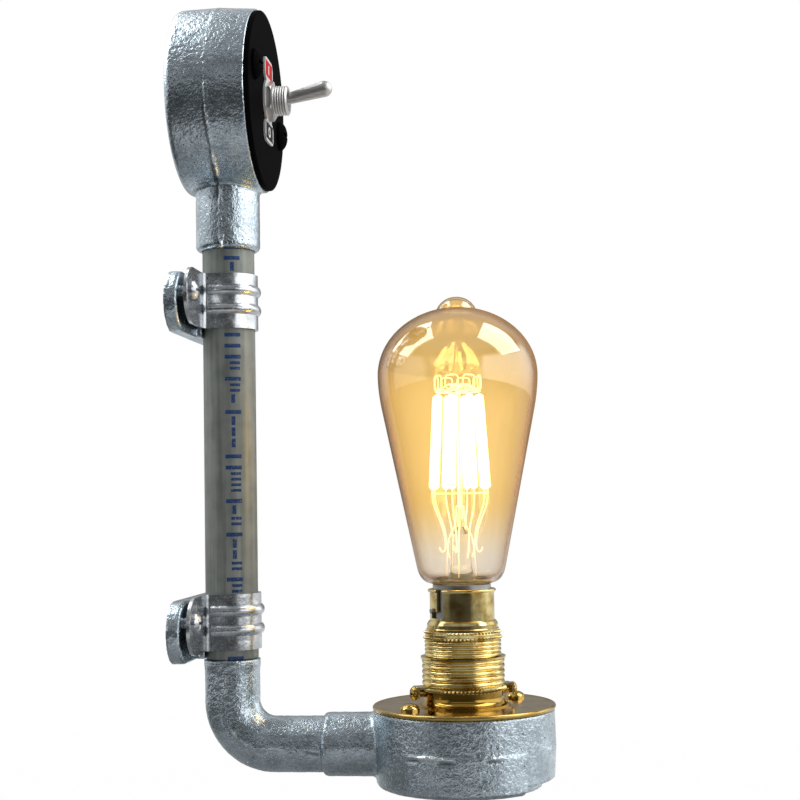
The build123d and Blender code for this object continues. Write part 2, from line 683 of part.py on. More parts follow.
# ---- brass plate and lampholder ---------------------------------------------------
def make_lamp_plate():
    rim = 0.9
    outline = [
        Line((11.6, -PLATE_THICKNESS), (PLATE_R - rim, -PLATE_THICKNESS)),
        ThreePointArc(
            (PLATE_R - rim, -PLATE_THICKNESS),
            (PLATE_R, -PLATE_THICKNESS + rim),
            (PLATE_R - rim, 0.3),
        ),
        Line((PLATE_R - rim, 0.3), (PLATE_R - 2.2, 0)),
        Line((PLATE_R - 2.2, 0), (11.6, 0)),
        Line((11.6, 0), (11.6, -PLATE_THICKNESS)),
    ]
    plate = turned(outline)
    for angle in (LAMP_BOSS_ANGLE, LAMP_BOSS_ANGLE + 180):
        x, y = polar(SCREW_CIRCLE_R, angle)
        plate -= upright(COVER_SCREW_R + 0.2, -3, 3, x, y)
    return on_lamp_axis(plate)


def make_plate_screws():
    x, y = polar(SCREW_CIRCLE_R, LAMP_BOSS_ANGLE)
    one = Pos(x, y, 0) * screw(COVER_SCREW_R, 12.0, 3.6, 2.4, 0.9, cross=False)
    return on_lamp_axis(opposite(one))


def make_holder_collar():
    outline = [
        Line((COLLAR_BORE_R, 0), (COLLAR_FLARE_R, 0)),
        Line((COLLAR_FLARE_R, 0), (COLLAR_FLARE_R, 0.5)),
        ThreePointArc((COLLAR_FLARE_R, 0.5), (15.6, 1.3), (COLLAR_R, 3.3)),
        Line((COLLAR_R, 3.3), (COLLAR_R, COLLAR_TOP)),
        Line((COLLAR_R, COLLAR_TOP), (COLLAR_BORE_R, COLLAR_TOP)),
        Line((COLLAR_BORE_R, COLLAR_TOP), (COLLAR_BORE_R, 0)),
    ]
    return on_lamp_axis(turned(outline))


def toothed_ring():
    """The flange's lower edge: small pointed teeth all round."""
    outline = []
    for index in range(FLANGE_TEETH):
        angle = 360 * index / FLANGE_TEETH
        outline.append(polar(FLANGE_R, angle))
        outline.append(polar(FLANGE_R + TOOTH_HEIGHT, angle + 180 / FLANGE_TEETH))
    return extrude(make_face(Polyline(*outline, close=True)), 1.2)


def make_holder_flange():
    ring = Pos(0, 0, COLLAR_TOP) * toothed_ring() + upright(FLANGE_R, COLLAR_TOP + 1, FLANGE_TOP)
    half = LUG_WIDTH / 2
    top = block((10, -half, FLANGE_TOP - LUG_THICKNESS), (LUG_REACH, half, FLANGE_TOP))
    tab = block((LUG_REACH - LUG_THICKNESS, -half, LUG_DROP), (LUG_REACH, half, FLANGE_TOP))
    lug = top + tab
    hole = outward(1.55, COLLAR_R - 0.5, LUG_REACH + 1, 0, SIDE_SCREW_HEIGHT)
    for angle in (LUG_ANGLE, LUG_ANGLE + 180):
        ring += Rot(0, 0, angle) * lug
        ring -= Rot(0, 0, angle) * hole
    return on_lamp_axis(ring - upright(FLANGE_BORE_R, 0, 10))


def make_side_screws():
    one = screw(1.5, LUG_REACH - COLLAR_R - 0.05, 2.6, 2.0, 0.8)
    return on_lamp_axis(opposite(along_radius(one, LUG_REACH, LUG_ANGLE, SIDE_SCREW_HEIGHT)))


def ribs(valley_r, crest_r, bottom, pitch, count):
    """Round ribs one over another, as arcs of a half section."""
    arcs = []
    for index in range(count):
        low = bottom + index * pitch
        middle = (crest_r, low + pitch / 2)
        arcs.append(ThreePointArc((valley_r, low), middle, (valley_r, low + pitch)))
    return arcs


def make_holder_skirt():
    lip = 1.0
    outline = ribs(SKIRT_VALLEY_R, SKIRT_CREST_R, FLANGE_TOP, SKIRT_RIB_PITCH, SKIRT_RIBS)
    inside = [
        (SKIRT_VALLEY_R, SKIRT_TOP),
        (SLIDE_BORE_R, SKIRT_TOP),
        (SLIDE_BORE_R, SKIRT_TOP - lip),
        (SKIRT_BORE_R, SKIRT_TOP - lip),
        (SKIRT_BORE_R, FLANGE_TOP),
        (SKIRT_VALLEY_R, FLANGE_TOP),
    ]
    outline += [Line(a, b) for a, b in zip(inside, inside[1:])]
    return on_lamp_axis(turned(outline))


def make_shade_washer():
    top = SKIRT_TOP + SHADE_WASHER_THICKNESS
    ring = upright(SHADE_WASHER_R, SKIRT_TOP, top) - upright(SLIDE_BORE_R, SKIRT_TOP, top)
    return on_lamp_axis(ring)


def make_shade_ring():
    outline = ribs(13.8, 14.35, RING_BOTTOM, RING_RIB_PITCH, RING_RIBS)
    ribs_top = RING_BOTTOM + RING_RIBS * RING_RIB_PITCH
    profile = [
        (13.8, ribs_top),
        (14.2, ribs_top + 0.2),
        (14.2, ribs_top + 1.1),
        (13.95, ribs_top + 1.3),
        (14.1, ribs_top + 2.3),
        (13.9, ribs_top + 3.2),
        (13.6, ribs_top + 3.4),
        (13.6, ribs_top + 4.2),
        (13.3, ribs_top + 4.5),
        (13.3, RING_TOP - 1.5),
        (12.8, RING_TOP - 0.5),
        (SLIDE_BORE_R, RING_TOP),
        (SLIDE_BORE_R, RING_BOTTOM),
        (13.8, RING_BOTTOM),
    ]
    outline += [Line(a, b) for a, b in zip(profile, profile[1:])]
    return on_lamp_axis(turned(outline))


def bayonet_slot():
    """One J-shaped opening: a mouth from the top, a passage and a raised seat."""
    pressed = PIN_HEIGHT - PRESS_TRAVEL
    floor = pressed - PIN_R - 0.1
    mouth = Rot(0, 0, SLOT_ANGLE) * block((9, -1.5, floor), (15, 1.5, BARREL_TOP + 1))
    seat_top = PIN_HEIGHT + PIN_R + 0.05
    seat = Rot(0, 0, PIN_ANGLE) * block((9, -1.2, floor), (15, 1.2, seat_top))
    sector = make_face(Polyline((0, 0), polar(16, PIN_ANGLE), polar(16, SLOT_ANGLE), close=True))
    height = pressed + PIN_R + 0.2 - floor
    passage = Pos(0, 0, floor) * extrude(sector, height)
    return mouth + seat + passage


def make_holder_barrel():
    lip = 1.3
    outline = [
        Line((9.0, BARREL_BOTTOM), (BARREL_R, BARREL_BOTTOM)),
        Line((BARREL_R, BARREL_BOTTOM), (BARREL_R, BARREL_TOP - lip)),
        ThreePointArc(
            (BARREL_R, BARREL_TOP - lip),
            (BARREL_LIP_R, BARREL_TOP - lip / 2),
            (BARREL_R, BARREL_TOP),
        ),
        Line((BARREL_R, BARREL_TOP), (BARREL_BORE_R, BARREL_TOP)),
        Line((BARREL_BORE_R, BARREL_TOP), (BARREL_BORE_R, INSULATOR_BOTTOM)),
        Line((BARREL_BORE_R, INSULATOR_BOTTOM), (9.0, INSULATOR_BOTTOM)),
        Line((9.0, INSULATOR_BOTTOM), (9.0, BARREL_BOTTOM)),
    ]
    barrel = turned(outline)
    slot = bayonet_slot()
    return on_lamp_axis(barrel - slot - Rot(0, 0, 180) * slot)


def plunger_place():
    return polar(PLUNGER_OFFSET, PIN_ANGLE + 90)


def make_holder_insulator():
    body = upright(INSULATOR_R, INSULATOR_BOTTOM, INSULATOR_TOP)
    x, y = plunger_place()
    for side in (-1, 1):
        body -= upright(PLUNGER_R + 0.05, 10, INSULATOR_TOP, side * x, side * y)
        body -= upright(1.65, INSULATOR_BOTTOM, 10, side * x, side * y)
    return on_lamp_axis(body)


def make_contact_plungers():
    x, y = plunger_place()
    one = upright(PLUNGER_R, PLUNGER_BOTTOM, PLUNGER_TOP, x, y)
    one = fillet(one.edges().sort_by(Axis.Z)[-1], 0.5)
    return on_lamp_axis(opposite(one))


def make_plunger_springs():
    """Two compression springs, each one unbroken helix of round wire."""
    x, y = plunger_place()
    low, high = SPRING_BOTTOM + SPRING_WIRE_R, PLUNGER_BOTTOM - SPRING_WIRE_R
    helix = Helix(pitch=(high - low) / SPRING_TURNS, height=high - low, radius=SPRING_R)
    wire = sweep(Plane(helix @ 0, z_dir=helix % 0) * Circle(SPRING_WIRE_R), helix)
    gap = (high - low) / SPRING_TURNS - 2 * SPRING_WIRE_R
    print("plunger spring: gap between turns", round(gap, 2))
    return on_lamp_axis(opposite(Pos(x, y, low) * wire))


def make_holder_terminals():
    half = TERMINAL_SIZE / 2
    near, far = PLUNGER_OFFSET - half, PLUNGER_OFFSET + half
    one = block((near, -half, HOLDER_TERMINAL_BOTTOM), (far, half, HOLDER_TERMINAL_TOP))
    one += upright(1.6, HOLDER_TERMINAL_TOP - 1, 10.2, PLUNGER_OFFSET)
    one += upright(2.2, 10.0, SPRING_BOTTOM, PLUNGER_OFFSET)
    one -= upright(WIRE_HOLE_R, HOLDER_TERMINAL_BOTTOM, 7.0, PLUNGER_OFFSET)
    one -= outward(0.95, PLUNGER_OFFSET, far, 0, 4.6)
    return on_lamp_axis(opposite(Rot(0, 0, PIN_ANGLE + 90) * one))


def make_holder_terminal_screws():
    face = PLUNGER_OFFSET + TERMINAL_SIZE / 2
    one = screw(0.9, TERMINAL_SIZE / 2 - WIRE_HOLE_R, 1.6, 1.2, 0.5, cross=False)
    return on_lamp_axis(opposite(along_radius(one, face, PIN_ANGLE + 90, 4.6)))


# ---- bulb ---------------------------------------------------------------------
def glass_outline(wall):
    """The bulb's half section at a depth under its outer face: dome, cone and neck."""
    wide_r = GLASS_WIDE_R - wall
    dome = GLASS_DOME_RISE - wall
    tip_r = GLASS_TIP_R - wall
    join = GLASS_WIDE_HEIGHT + dome * math.sqrt(1 - (tip_r / wide_r) ** 2)
    angle = math.degrees(math.asin((join - GLASS_WIDE_HEIGHT) / dome))
    cone_top = (CONE_TOP[0] - wall, CONE_TOP[1])
    cone_bottom = (CONE_BOTTOM[0] - wall, CONE_BOTTOM[1])
    slope = (cone_bottom[0] - cone_top[0], cone_bottom[1] - cone_top[1])
    neck_r = GLASS_NECK_R - wall
    shoulder, shoulder_r = GLASS_SHOULDER + wall, GLASS_SHOULDER_R - wall
    return [
        ThreePointArc((0, GLASS_TIP - wall), (0.55 * tip_r, GLASS_TIP - 1.0 - wall), (tip_r, join)),
        EllipticalCenterArc((0, GLASS_WIDE_HEIGHT), wide_r, dome, 0, arc_size=angle),
        Spline((wide_r, GLASS_WIDE_HEIGHT), cone_top, tangents=[(0, -1), slope]),
        Line(cone_top, cone_bottom),
        Spline(cone_bottom, (shoulder_r, shoulder), tangents=[slope, (-1, -0.25)]),
        Line((shoulder_r, shoulder), (neck_r, shoulder - 0.4)),
        Line((neck_r, shoulder - 0.4), (neck_r, GLASS_NECK_BOTTOM)),
        Line((neck_r, GLASS_NECK_BOTTOM), (0, GLASS_NECK_BOTTOM)),
        Line((0, GLASS_NECK_BOTTOM), (0, GLASS_TIP - wall)),
    ]


def make_bulb_glass():
    return on_lamp_axis(turned(glass_outline(0)) - turned(glass_outline(GLASS_WALL)))


def make_bulb_cap():
    shell = turned_outline(
        [
            (8.5, CAP_BOTTOM),
            (CAP_R, CAP_BOTTOM),
            (CAP_R, CAP_TOP),
            (CAP_R - CAP_WALL, CAP_TOP),
            (CAP_R - CAP_WALL, CAP_BOTTOM + CAP_WALL),
            (8.5, CAP_BOTTOM + CAP_WALL),
        ]
    )
    for angle in (PIN_ANGLE, PIN_ANGLE + 180):
        hole = Cylinder(PIN_R + 0.02, 4)
        shell -= along_radius(hole, CAP_R, angle, PIN_HEIGHT)
    return on_lamp_axis(shell)


def make_bulb_pins():
    low_end = (Align.CENTER, Align.CENTER, Align.MIN)
    one = Cylinder(PIN_R, PIN_REACH - 9.8, align=low_end)
    one = fillet(one.edges().sort_by(Axis.Z)[-1], 0.3)
    return on_lamp_axis(opposite(along_radius(one, 9.8, PIN_ANGLE, PIN_HEIGHT)))


def make_cap_insulator():
    top = CAP_BOTTOM + CAP_WALL + 2.5
    return on_lamp_axis(
        turned_outline(
            [
                (0, CAP_FACE),
                (8.4, CAP_FACE),
                (8.4, CAP_BOTTOM + CAP_WALL),
                (9.6, CAP_BOTTOM + CAP_WALL),
                (9.6, top),
                (0, top),
            ]
        )
    )


def make_cap_contacts():
    x, y = plunger_place()
    return on_lamp_axis(opposite(upright(1.9, CAP_FACE - 0.5, CAP_FACE, x, y)))


def make_glass_stem():
    """The flared glass foot inside the neck, and the rod that carries the cage."""
    profile = [
        (0, GLASS_NECK_BOTTOM + 1),
        (9.5, GLASS_NECK_BOTTOM + 1),
        (9.5, GLASS_NECK_BOTTOM + 2),
        (5.2, 45.0),
        (3.8, 52.0),
        (3.4, 62.0),
        (1.3, 66.0),
        (1.3, STEM_TOP),
        (0, STEM_TOP),
    ]
    return on_lamp_axis(turned_outline(profile))


def rod(start, end, radius):
    """A straight round rod between two points."""
    a, b = Vector(*start), Vector(*end)
    low_end = (Align.CENTER, Align.CENTER, Align.MIN)
    place = Plane(a, z_dir=(b - a).normalized())
    return place * Cylinder(radius, (b - a).length, align=low_end)


def make_led_filaments():
    solids = []
    for index in range(FILAMENT_COUNT):
        angle = 360 * (index + 0.5) / FILAMENT_COUNT
        low = (*polar(CAGE_BOTTOM_R, angle), FILAMENT_BOTTOM)
        high = (*polar(CAGE_TOP_R, angle), FILAMENT_TOP)
        solids += rod(low, high, FILAMENT_R).solids()
    return on_lamp_axis(Compound(solids))


def make_filament_frame():
    """Two wire crowns that join the filaments' ends, and the leads up to the lower."""
    bottom = FILAMENT_BOTTOM - 1.4
    top = FILAMENT_TOP + 1.4
    solids = []
    for radius, height in ((CAGE_BOTTOM_R, bottom), (CAGE_TOP_R, top)):
        crown = Pos(0, 0, height) * Torus(radius, LEAD_R)
        solids += crown.solids()
    for angle in (0, 180):
        x, y = polar(CAGE_BOTTOM_R - 0.9, angle)
        near_x, near_y = polar(4.4, angle)
        lead = rod((near_x, near_y, 50.5), (x, y, bottom - 0.1), LEAD_R)
        solids += lead.solids()
    return on_lamp_axis(Compound(solids))


# ---- wires --------------------------------------------------------------------
def wire_tube(name, points, radii):
    """One round wire along straight runs and arcs, with its volume checked."""
    path = FilletPolyline(*points, radius=radii)
    tube = sweep(Plane(path @ 0, z_dir=path % 0) * Circle(WIRE_R), path)
    expected = math.pi * WIRE_R**2 * path.length
    shown = [round(radius, 1) for radius in radii]
    print(name, "radii", shown, "length", round(path.length, 1), end=" ")
    print("volume over section times length", round(tube.volume / expected, 4))
    return tube


def conduit_run(offset):
    """The corner points that every wire shares, from the box's spout to the arm."""
    out, side = offset
    return [
        (PIPE_X + out, side, -38.0),
        (PIPE_X + out, side, ARM_Z + out),
        (68.0, side, ARM_Z + out),
    ]


def make_live_link_wire():
    return upright(WIRE_R, -0.8, BLOCK_Z + 4.5, TERMINAL_X)


def wire_to_holder(name, start, offset, terminal_side):
    """A wire from the switch box through the conduit into a holder terminal."""
    x, y = plunger_place()
    end_x, end_y = LAMP_X + terminal_side * x, terminal_side * y
    height = ARM_Z + offset[0]
    run = conduit_run(offset)
    points = [*start, *run, (end_x, end_y, height), (end_x, end_y, PLATE_Z + 6.5)]
    radii = [30.0, 30.0, ELBOW_BEND_R - offset[0], 60.0, 12.0]
    return wire_tube(name, points, radii)


def make_switched_live_wire():
    start = [(TERMINAL_X, 0, -CONTACT_Z + 0.6), (TERMINAL_X, 0, -18.0)]
    return wire_to_holder("switched_live_wire", start, LIVE_OFFSET, 1)


def make_neutral_wire():
    start = [(TERMINAL_X, POLE_SPACING, BLOCK_Z + 4.5), (TERMINAL_X, POLE_SPACING, -12.0)]
    return wire_to_holder("neutral_wire", start, NEUTRAL_OFFSET, -1)


def make_earth_wire():
    post_x, post_y = EARTH_POST
    points = [
        (TERMINAL_X, -POLE_SPACING, BLOCK_Z + 4.5),
        (TERMINAL_X, -POLE_SPACING, -12.0),
        *conduit_run(EARTH_OFFSET),
        (post_x - 6, post_y, ARM_Z + EARTH_OFFSET[0]),
        (post_x + 4, post_y, ARM_Z + EARTH_OFFSET[0]),
    ]
    radii = [30.0, 30.0, ELBOW_BEND_R - EARTH_OFFSET[0], 60.0, 40.0]
    return wire_tube("earth_wire", points, radii)


def make_earth_terminal():
    x, y = EARTH_POST
    half = EARTH_POST_SIZE / 2
    floor = LAMP_BOX_Z + LAMP_BOX_FLOOR
    post = block((x, y - half, floor), (x + EARTH_POST_SIZE, y + half, EARTH_POST_TOP))
    height = ARM_Z + EARTH_OFFSET[0]
    post -= Pos(0, 0, height) * outward(WIRE_HOLE_R, x, x + 4.5, y)
    return post - upright(0.95, height, EARTH_POST_TOP, x + half, y)


def make_earth_screw():
    x, y = EARTH_POST
    length = EARTH_POST_TOP - (ARM_Z + EARTH_OFFSET[0]) - WIRE_HOLE_R
    one = screw(0.9, length, 1.7, 1.2, 0.5, cross=False)
    return Pos(x + EARTH_POST_SIZE / 2, y, EARTH_POST_TOP) * one


# ---- all pieces -----------------------------------------------------------------
def all_parts():
    parts = {
        "switch_box": make_switch_box(),
        "switch_lid": make_switch_lid(),
        "lid_screws": make_lid_screws(),
        "indicator_plate": make_indicator_plate(),
        "toggle_hex_nut": make_hex_nut(),
        "toggle_bushing": make_toggle_bushing(),
        "toggle_lock_washer": make_lock_washer(),
        "toggle_body": make_toggle_body(),
        "toggle_lever": make_toggle_lever(),
        "lever_pivot_pin": make_lever_pivot_pin(),
        "contact_rocker": make_contact_rocker(),
        "switch_terminals": make_switch_terminals(),
        "switch_terminal_screws": make_switch_terminal_screws(),
        "terminal_block": make_terminal_block(),
        "block_tubes": make_block_tubes(),
        "block_screws": make_block_screws(),
        "conduit": make_conduit(),
        "elbow": make_elbow(),
        "elbow_nipple": make_elbow_nipple(),
        "lamp_box": make_lamp_box(),
        "lamp_plate": make_lamp_plate(),
        "plate_screws": make_plate_screws(),
        "holder_collar": make_holder_collar(),
        "holder_flange": make_holder_flange(),
        "side_screws": make_side_screws(),
        "holder_skirt": make_holder_skirt(),
        "shade_washer": make_shade_washer(),
        "shade_ring": make_shade_ring(),
        "holder_barrel": make_holder_barrel(),
        "holder_insulator": make_holder_insulator(),
        "contact_plungers": make_contact_plungers(),
        "plunger_springs": make_plunger_springs(),
        "holder_terminals": make_holder_terminals(),
        "holder_terminal_screws": make_holder_terminal_screws(),
        "bulb_glass": make_bulb_glass(),
        "bulb_cap": make_bulb_cap(),
        "bulb_pins": make_bulb_pins(),
        "cap_insulator": make_cap_insulator(),
        "cap_contacts": make_cap_contacts(),
        "glass_stem": make_glass_stem(),
        "led_filaments": make_led_filaments(),
        "filament_frame": make_filament_frame(),
        "live_link_wire": make_live_link_wire(),
        "switched_live_wire": make_switched_live_wire(),
        "neutral_wire": make_neutral_wire(),
        "earth_wire": make_earth_wire(),
        "earth_terminal": make_earth_terminal(),
        "earth_screw": make_earth_screw(),
    }
    for place, z in SADDLES.items():
        parts[place + "_saddle_base"] = make_saddle_base(z)
        parts[place + "_saddle_strap"] = make_saddle_strap(z)
        parts[place + "_saddle_screws"] = make_saddle_screws(z)
    return parts


os.makedirs("parts", exist_ok=True)
for node, shape in all_parts().items():
    export_step(shape, "parts/" + node + ".step")
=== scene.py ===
"""Dresses the pipe wall light: galvanised castings, conduit, saddles, toggle switch,
brass lampholder and squirrel-cage bulb, with a plain pale studio."""

import math

import bmesh
import bpy
import numpy as np
from mathutils import Matrix, Vector


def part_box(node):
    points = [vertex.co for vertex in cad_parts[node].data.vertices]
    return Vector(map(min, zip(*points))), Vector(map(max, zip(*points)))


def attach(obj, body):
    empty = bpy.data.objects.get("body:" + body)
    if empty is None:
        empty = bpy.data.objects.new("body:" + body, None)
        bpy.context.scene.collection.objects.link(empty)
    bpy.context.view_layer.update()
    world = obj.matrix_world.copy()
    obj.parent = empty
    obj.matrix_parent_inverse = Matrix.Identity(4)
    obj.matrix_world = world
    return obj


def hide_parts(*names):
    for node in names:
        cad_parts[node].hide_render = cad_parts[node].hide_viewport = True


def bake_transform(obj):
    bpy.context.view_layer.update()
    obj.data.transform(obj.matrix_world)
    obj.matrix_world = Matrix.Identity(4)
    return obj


bl_info = {
    "name": "Pipe Wall Light",
    "version": (1, 0, 0),
    "blender": (4, 5, 0),
    "location": "View3D > Sidebar > Wall Light",
    "description": "Builds the surfaces, finishes and studio of a pipe wall light",
    "category": "Add Mesh",
}

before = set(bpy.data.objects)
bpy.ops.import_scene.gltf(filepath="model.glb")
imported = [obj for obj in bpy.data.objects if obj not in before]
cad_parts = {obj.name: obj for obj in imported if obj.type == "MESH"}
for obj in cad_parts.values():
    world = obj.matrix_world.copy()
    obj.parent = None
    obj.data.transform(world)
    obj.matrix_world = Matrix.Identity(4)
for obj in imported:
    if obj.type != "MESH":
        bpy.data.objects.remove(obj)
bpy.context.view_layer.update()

MM = 0.001  # every size below is written in millimetres

# ---- sizes read from the frame ----


def low(node):
    """A node's lowest corner, in millimetres."""
    return np.array(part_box(node)[0]) / MM


def high(node):
    """A node's highest corner, in millimetres."""
    return np.array(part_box(node)[1]) / MM


PIPE_X = (low("conduit")[0] + high("conduit")[0]) / 2
PIPE_R = (high("conduit")[0] - low("conduit")[0]) / 2
PIPE_TOP = high("conduit")[2]
PIPE_END = low("conduit")[2]
BORE_R = 8.4  # the conduit's inside
PIPE_EDGE = 0.5  # the chamfers at the conduit's ends
ELBOW_R = 10.5  # the elbow's outside
ELBOW_BEND_R = 16.5  # the elbow's bend, along its middle line
ARM_Z = low("elbow")[2] + ELBOW_R
LAMP_X = (low("lamp_plate")[0] + high("lamp_plate")[0]) / 2
COLLAR_HEIGHT = 5.3
PLATE_Z = high("holder_collar")[2] - COLLAR_HEIGHT  # top of the brass plate
CAGE_LOW_R, CAGE_HIGH_R = 10.6, 8.4  # the filament cage's radius at its foot and its head
CAGE_FOOT = low("led_filaments")[2] - PLATE_Z
CAGE_HEAD = high("led_filaments")[2] - PLATE_Z
FILAMENTS = 8
CAGE_TURN = 11.25  # degrees, so that far filaments show between near ones
GLASS_IOR = 1.46


# ---- numpy surfaces ----


def smooth_path(points, steps):
    """A smooth line through points, with so many steps between two of them: there it is
    the cubic whose slopes at both are half the difference of their neighbours."""
    points = np.asarray(points, dtype=float)
    slope = np.gradient(points, axis=0)[:, None]
    start, end = points[:-1, None], points[1:, None]
    t = np.linspace(0, 1, steps, endpoint=False)[None, :, None]
    line = (
        (2 * t**3 - 3 * t**2 + 1) * start
        + (t**3 - 2 * t**2 + t) * slope[:-1]
        + (3 * t**2 - 2 * t**3) * end
        + (t**3 - t**2) * slope[1:]
    )
    return np.vstack([line.reshape(-1, points.shape[1]), points[-1:]])


def smoothstep(low_edge, high_edge, value):
    """0 below the first edge, 1 above the second, and 3t^2 - 2t^3 between them."""
    t = np.clip((value - low_edge) / (high_edge - low_edge), 0, 1)
    return t * t * (3 - 2 * t)


LATTICE_SEED, LATTICE_SIZE = 7, 4096
LATTICE = np.random.default_rng(LATTICE_SEED).normal(size=(LATTICE_SIZE, 3))
LATTICE /= np.linalg.norm(LATTICE, axis=1, keepdims=True)
HASH_PRIMES = [73856093, 19349663, 83492791]
NOISE_GAIN = 1.6  # spreads the blended sum over -1 to 1


def noise(points, cell):
    """Gradient noise from -1 to 1: every lattice corner has a direction picked by a hash
    of its whole-number place, and the dot products of direction and offset are blended
    across the cell by 6t^5 - 15t^4 + 10t^3."""
    scaled = points / cell
    corner = np.floor(scaled).astype(np.int64)
    offset = scaled - corner
    blend = offset**3 * (offset * (offset * 6 - 15) + 10)
    total = np.zeros(points.shape[:-1])
    for step in np.ndindex(2, 2, 2):
        place = corner + step
        key = (place * HASH_PRIMES).sum(axis=-1)
        direction = LATTICE[(key ^ (key >> 13)) % LATTICE_SIZE]
        weight = np.where(step, blend, 1 - blend).prod(axis=-1)
        total += weight * (direction * (offset - step)).sum(axis=-1)
    return total * NOISE_GAIN


def cast_relief(points):
    """How far a cast and dipped skin lies under its highest points, from 0 to 1: ripples
    of two sizes, bent by a slower noise. A shift in place makes each noise its own."""
    bend_size, ripple_size, swell_size = 6.0, 1.25, 2.8
    bend = np.stack([noise(points + shift, bend_size) for shift in (0, 31, 67)], axis=-1)
    ripple = noise(points + 0.7 * bend, ripple_size)
    swell = noise(points + 13.7, swell_size)
    return np.clip(0.5 - 0.6 * ripple - 0.25 * swell, 0, 1)


def flash(across, points, wander):
    """How far the line between the mould's halves stands out, from -1 to 1: a bell curve
    of the distance across it, with a shallow crease beside it. The line wanders to both
    sides, and it fades in and out along its way, both by noise."""
    ridge_width, crease_width, crease_place = 0.55, 0.7, -1.2
    across = across - wander * (noise(points + 50, 8.0) + 0.45 * noise(points + 20, 2.4))
    ridge = np.exp(-((across / ridge_width) ** 2))
    ridge *= 0.45 + 0.55 * smoothstep(-0.3, 0.3, noise(points + 5, 7.0))
    crease = np.exp(-(((across - crease_place) / crease_width) ** 2))
    crease *= smoothstep(-0.1, 0.5, noise(points + 91, 11.0))
    return ridge - 0.8 * crease


def mesh_from(name, points, faces):
    """A mesh in metres from points in millimetres and rows of corner numbers."""
    mesh = bpy.data.meshes.new(name)
    mesh.from_pydata((points * MM).tolist(), [], faces.tolist())
    return mesh


def grid(name, points, closed=True):
    """A mesh whose quads join each point of a (row, column) grid to its neighbours: each
    row goes round, and the last row meets the first if the grid is closed."""
    rows, columns = points.shape[:2]
    number = np.arange(rows * columns).reshape(rows, columns)
    if closed:
        number = np.vstack([number, number[:1]])
    number = np.hstack([number, number[:, :1]])
    corners = (number[:-1, :-1], number[:-1, 1:], number[1:, 1:], number[1:, :-1])
    faces = np.stack(corners, axis=-1).reshape(-1, 4)
    return mesh_from(name, points.reshape(-1, 3), faces)


def turned(name, outline, x, count):
    """A closed outline of (radius, height) carried round an upright axis at x: radius
    times cosine and sine of the turn across the axis, height along it."""
    turn = np.linspace(0, 2 * math.pi, count, endpoint=False)[:, None]
    radius, height = np.asarray(outline, dtype=float).T
    points = np.stack([x + radius * np.cos(turn), radius * np.sin(turn), height + 0 * turn], axis=-1)
    return grid(name, points)


def tube(name, path, radius, sides=10, closed=False, across=(0.0, 0.0, 1.0)):
    """Round wire along a path: a circle of the radius, one for all or one a row, along two
    directions square to the path. An open path's ends close in a point."""
    if closed:
        ahead = np.roll(path, -1, axis=0) - np.roll(path, 1, axis=0)
    else:
        ahead = np.gradient(path, axis=0)
    ahead /= np.linalg.norm(ahead, axis=1, keepdims=True)
    side = np.cross(ahead, across)
    side /= np.linalg.norm(side, axis=1, keepdims=True)
    lift = np.cross(side, ahead)
    turn = np.linspace(0, 2 * math.pi, sides, endpoint=False)[None, :, None]
    reach = np.broadcast_to(radius, len(path))[:, None, None]
    rings = path[:, None] + reach * (np.cos(turn) * side[:, None] + np.sin(turn) * lift[:, None])
    if not closed:
        ends = [np.repeat(path[[place], None], sides, axis=1) for place in (0, -1)]
        rings = np.concatenate([ends[0], rings, ends[1]])
    return grid(name, rings, closed)


def on_lamp(radius, height, angle):
    """Points from their distance to the lamp's axis, height over the brass plate and
    angle from +X in degrees."""
    turn = np.radians(angle)
    place = (LAMP_X + radius * np.cos(turn), radius * np.sin(turn), PLATE_Z + height)
    return np.stack(np.broadcast_arrays(*place), axis=-1)


def knurled(name, radius, height, half, teeth, depth, inner):
    """A ring round the lamp's axis whose edge swells and shrinks: its radius is that of a
    rounded bead, half being half the bead's height, plus depth times a triangle wave with
    one tooth for each turn over teeth."""
    points_a_tooth, points_across, roundness = 4, 7, 0.6
    turn = np.linspace(0, 360, teeth * points_a_tooth, endpoint=False)[:, None]
    tooth = depth * abs((turn * teeth / 360) % 1 * 2 - 1)
    across = np.radians(np.linspace(-90, 90, points_across))[None, :]
    bead = radius - half * roundness + (half * roundness + tooth) * np.cos(across)
    rise = height + half * np.sin(across) + 0 * turn
    flat = np.full_like(turn, inner)
    rim = np.hstack([bead, flat, flat])
    rise = np.hstack([rise, flat * 0 + height + half, flat * 0 + height - half])
    return grid(name, on_lamp(rim, rise, turn))


def finished(mesh, material, body, replaced=(), crease=38.0):
    """Puts a mesh into the scene as a piece: poles closed, normals outwards, shaded smooth
    except at creases over so many degrees, riding on its body if it is given one."""
    same_point, no_length = 2e-7, 1e-7  # metres
    shape = bmesh.new()
    shape.from_mesh(mesh)
    bmesh.ops.remove_doubles(shape, verts=shape.verts, dist=same_point)
    bmesh.ops.dissolve_degenerate(shape, dist=no_length, edges=shape.edges)
    bmesh.ops.recalc_face_normals(shape, faces=shape.faces)
    shape.to_mesh(mesh)
    shape.free()
    mesh.shade_smooth()
    mesh.set_sharp_from_angle(angle=math.radians(crease))
    piece = bpy.data.objects.new(mesh.name, mesh)
    bpy.context.scene.collection.objects.link(piece)
    mesh.materials.append(material)
    if body:
        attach(piece, body)
    if replaced:
        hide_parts(*replaced)
    return piece


def joined(name, meshes):
    """Several meshes in one."""
    shape = bmesh.new()
    for mesh in meshes:
        shape.from_mesh(mesh)
        bpy.data.meshes.remove(mesh)
    whole = bpy.data.meshes.new(name)
    shape.to_mesh(whole)
    shape.free()
    return whole


def dress(material, *nodes):
    """Gives frame nodes a finish in place of their plain one."""
    for node in nodes:
        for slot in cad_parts[node].material_slots:
            slot.material = material


# ---- shader arithmetic ----


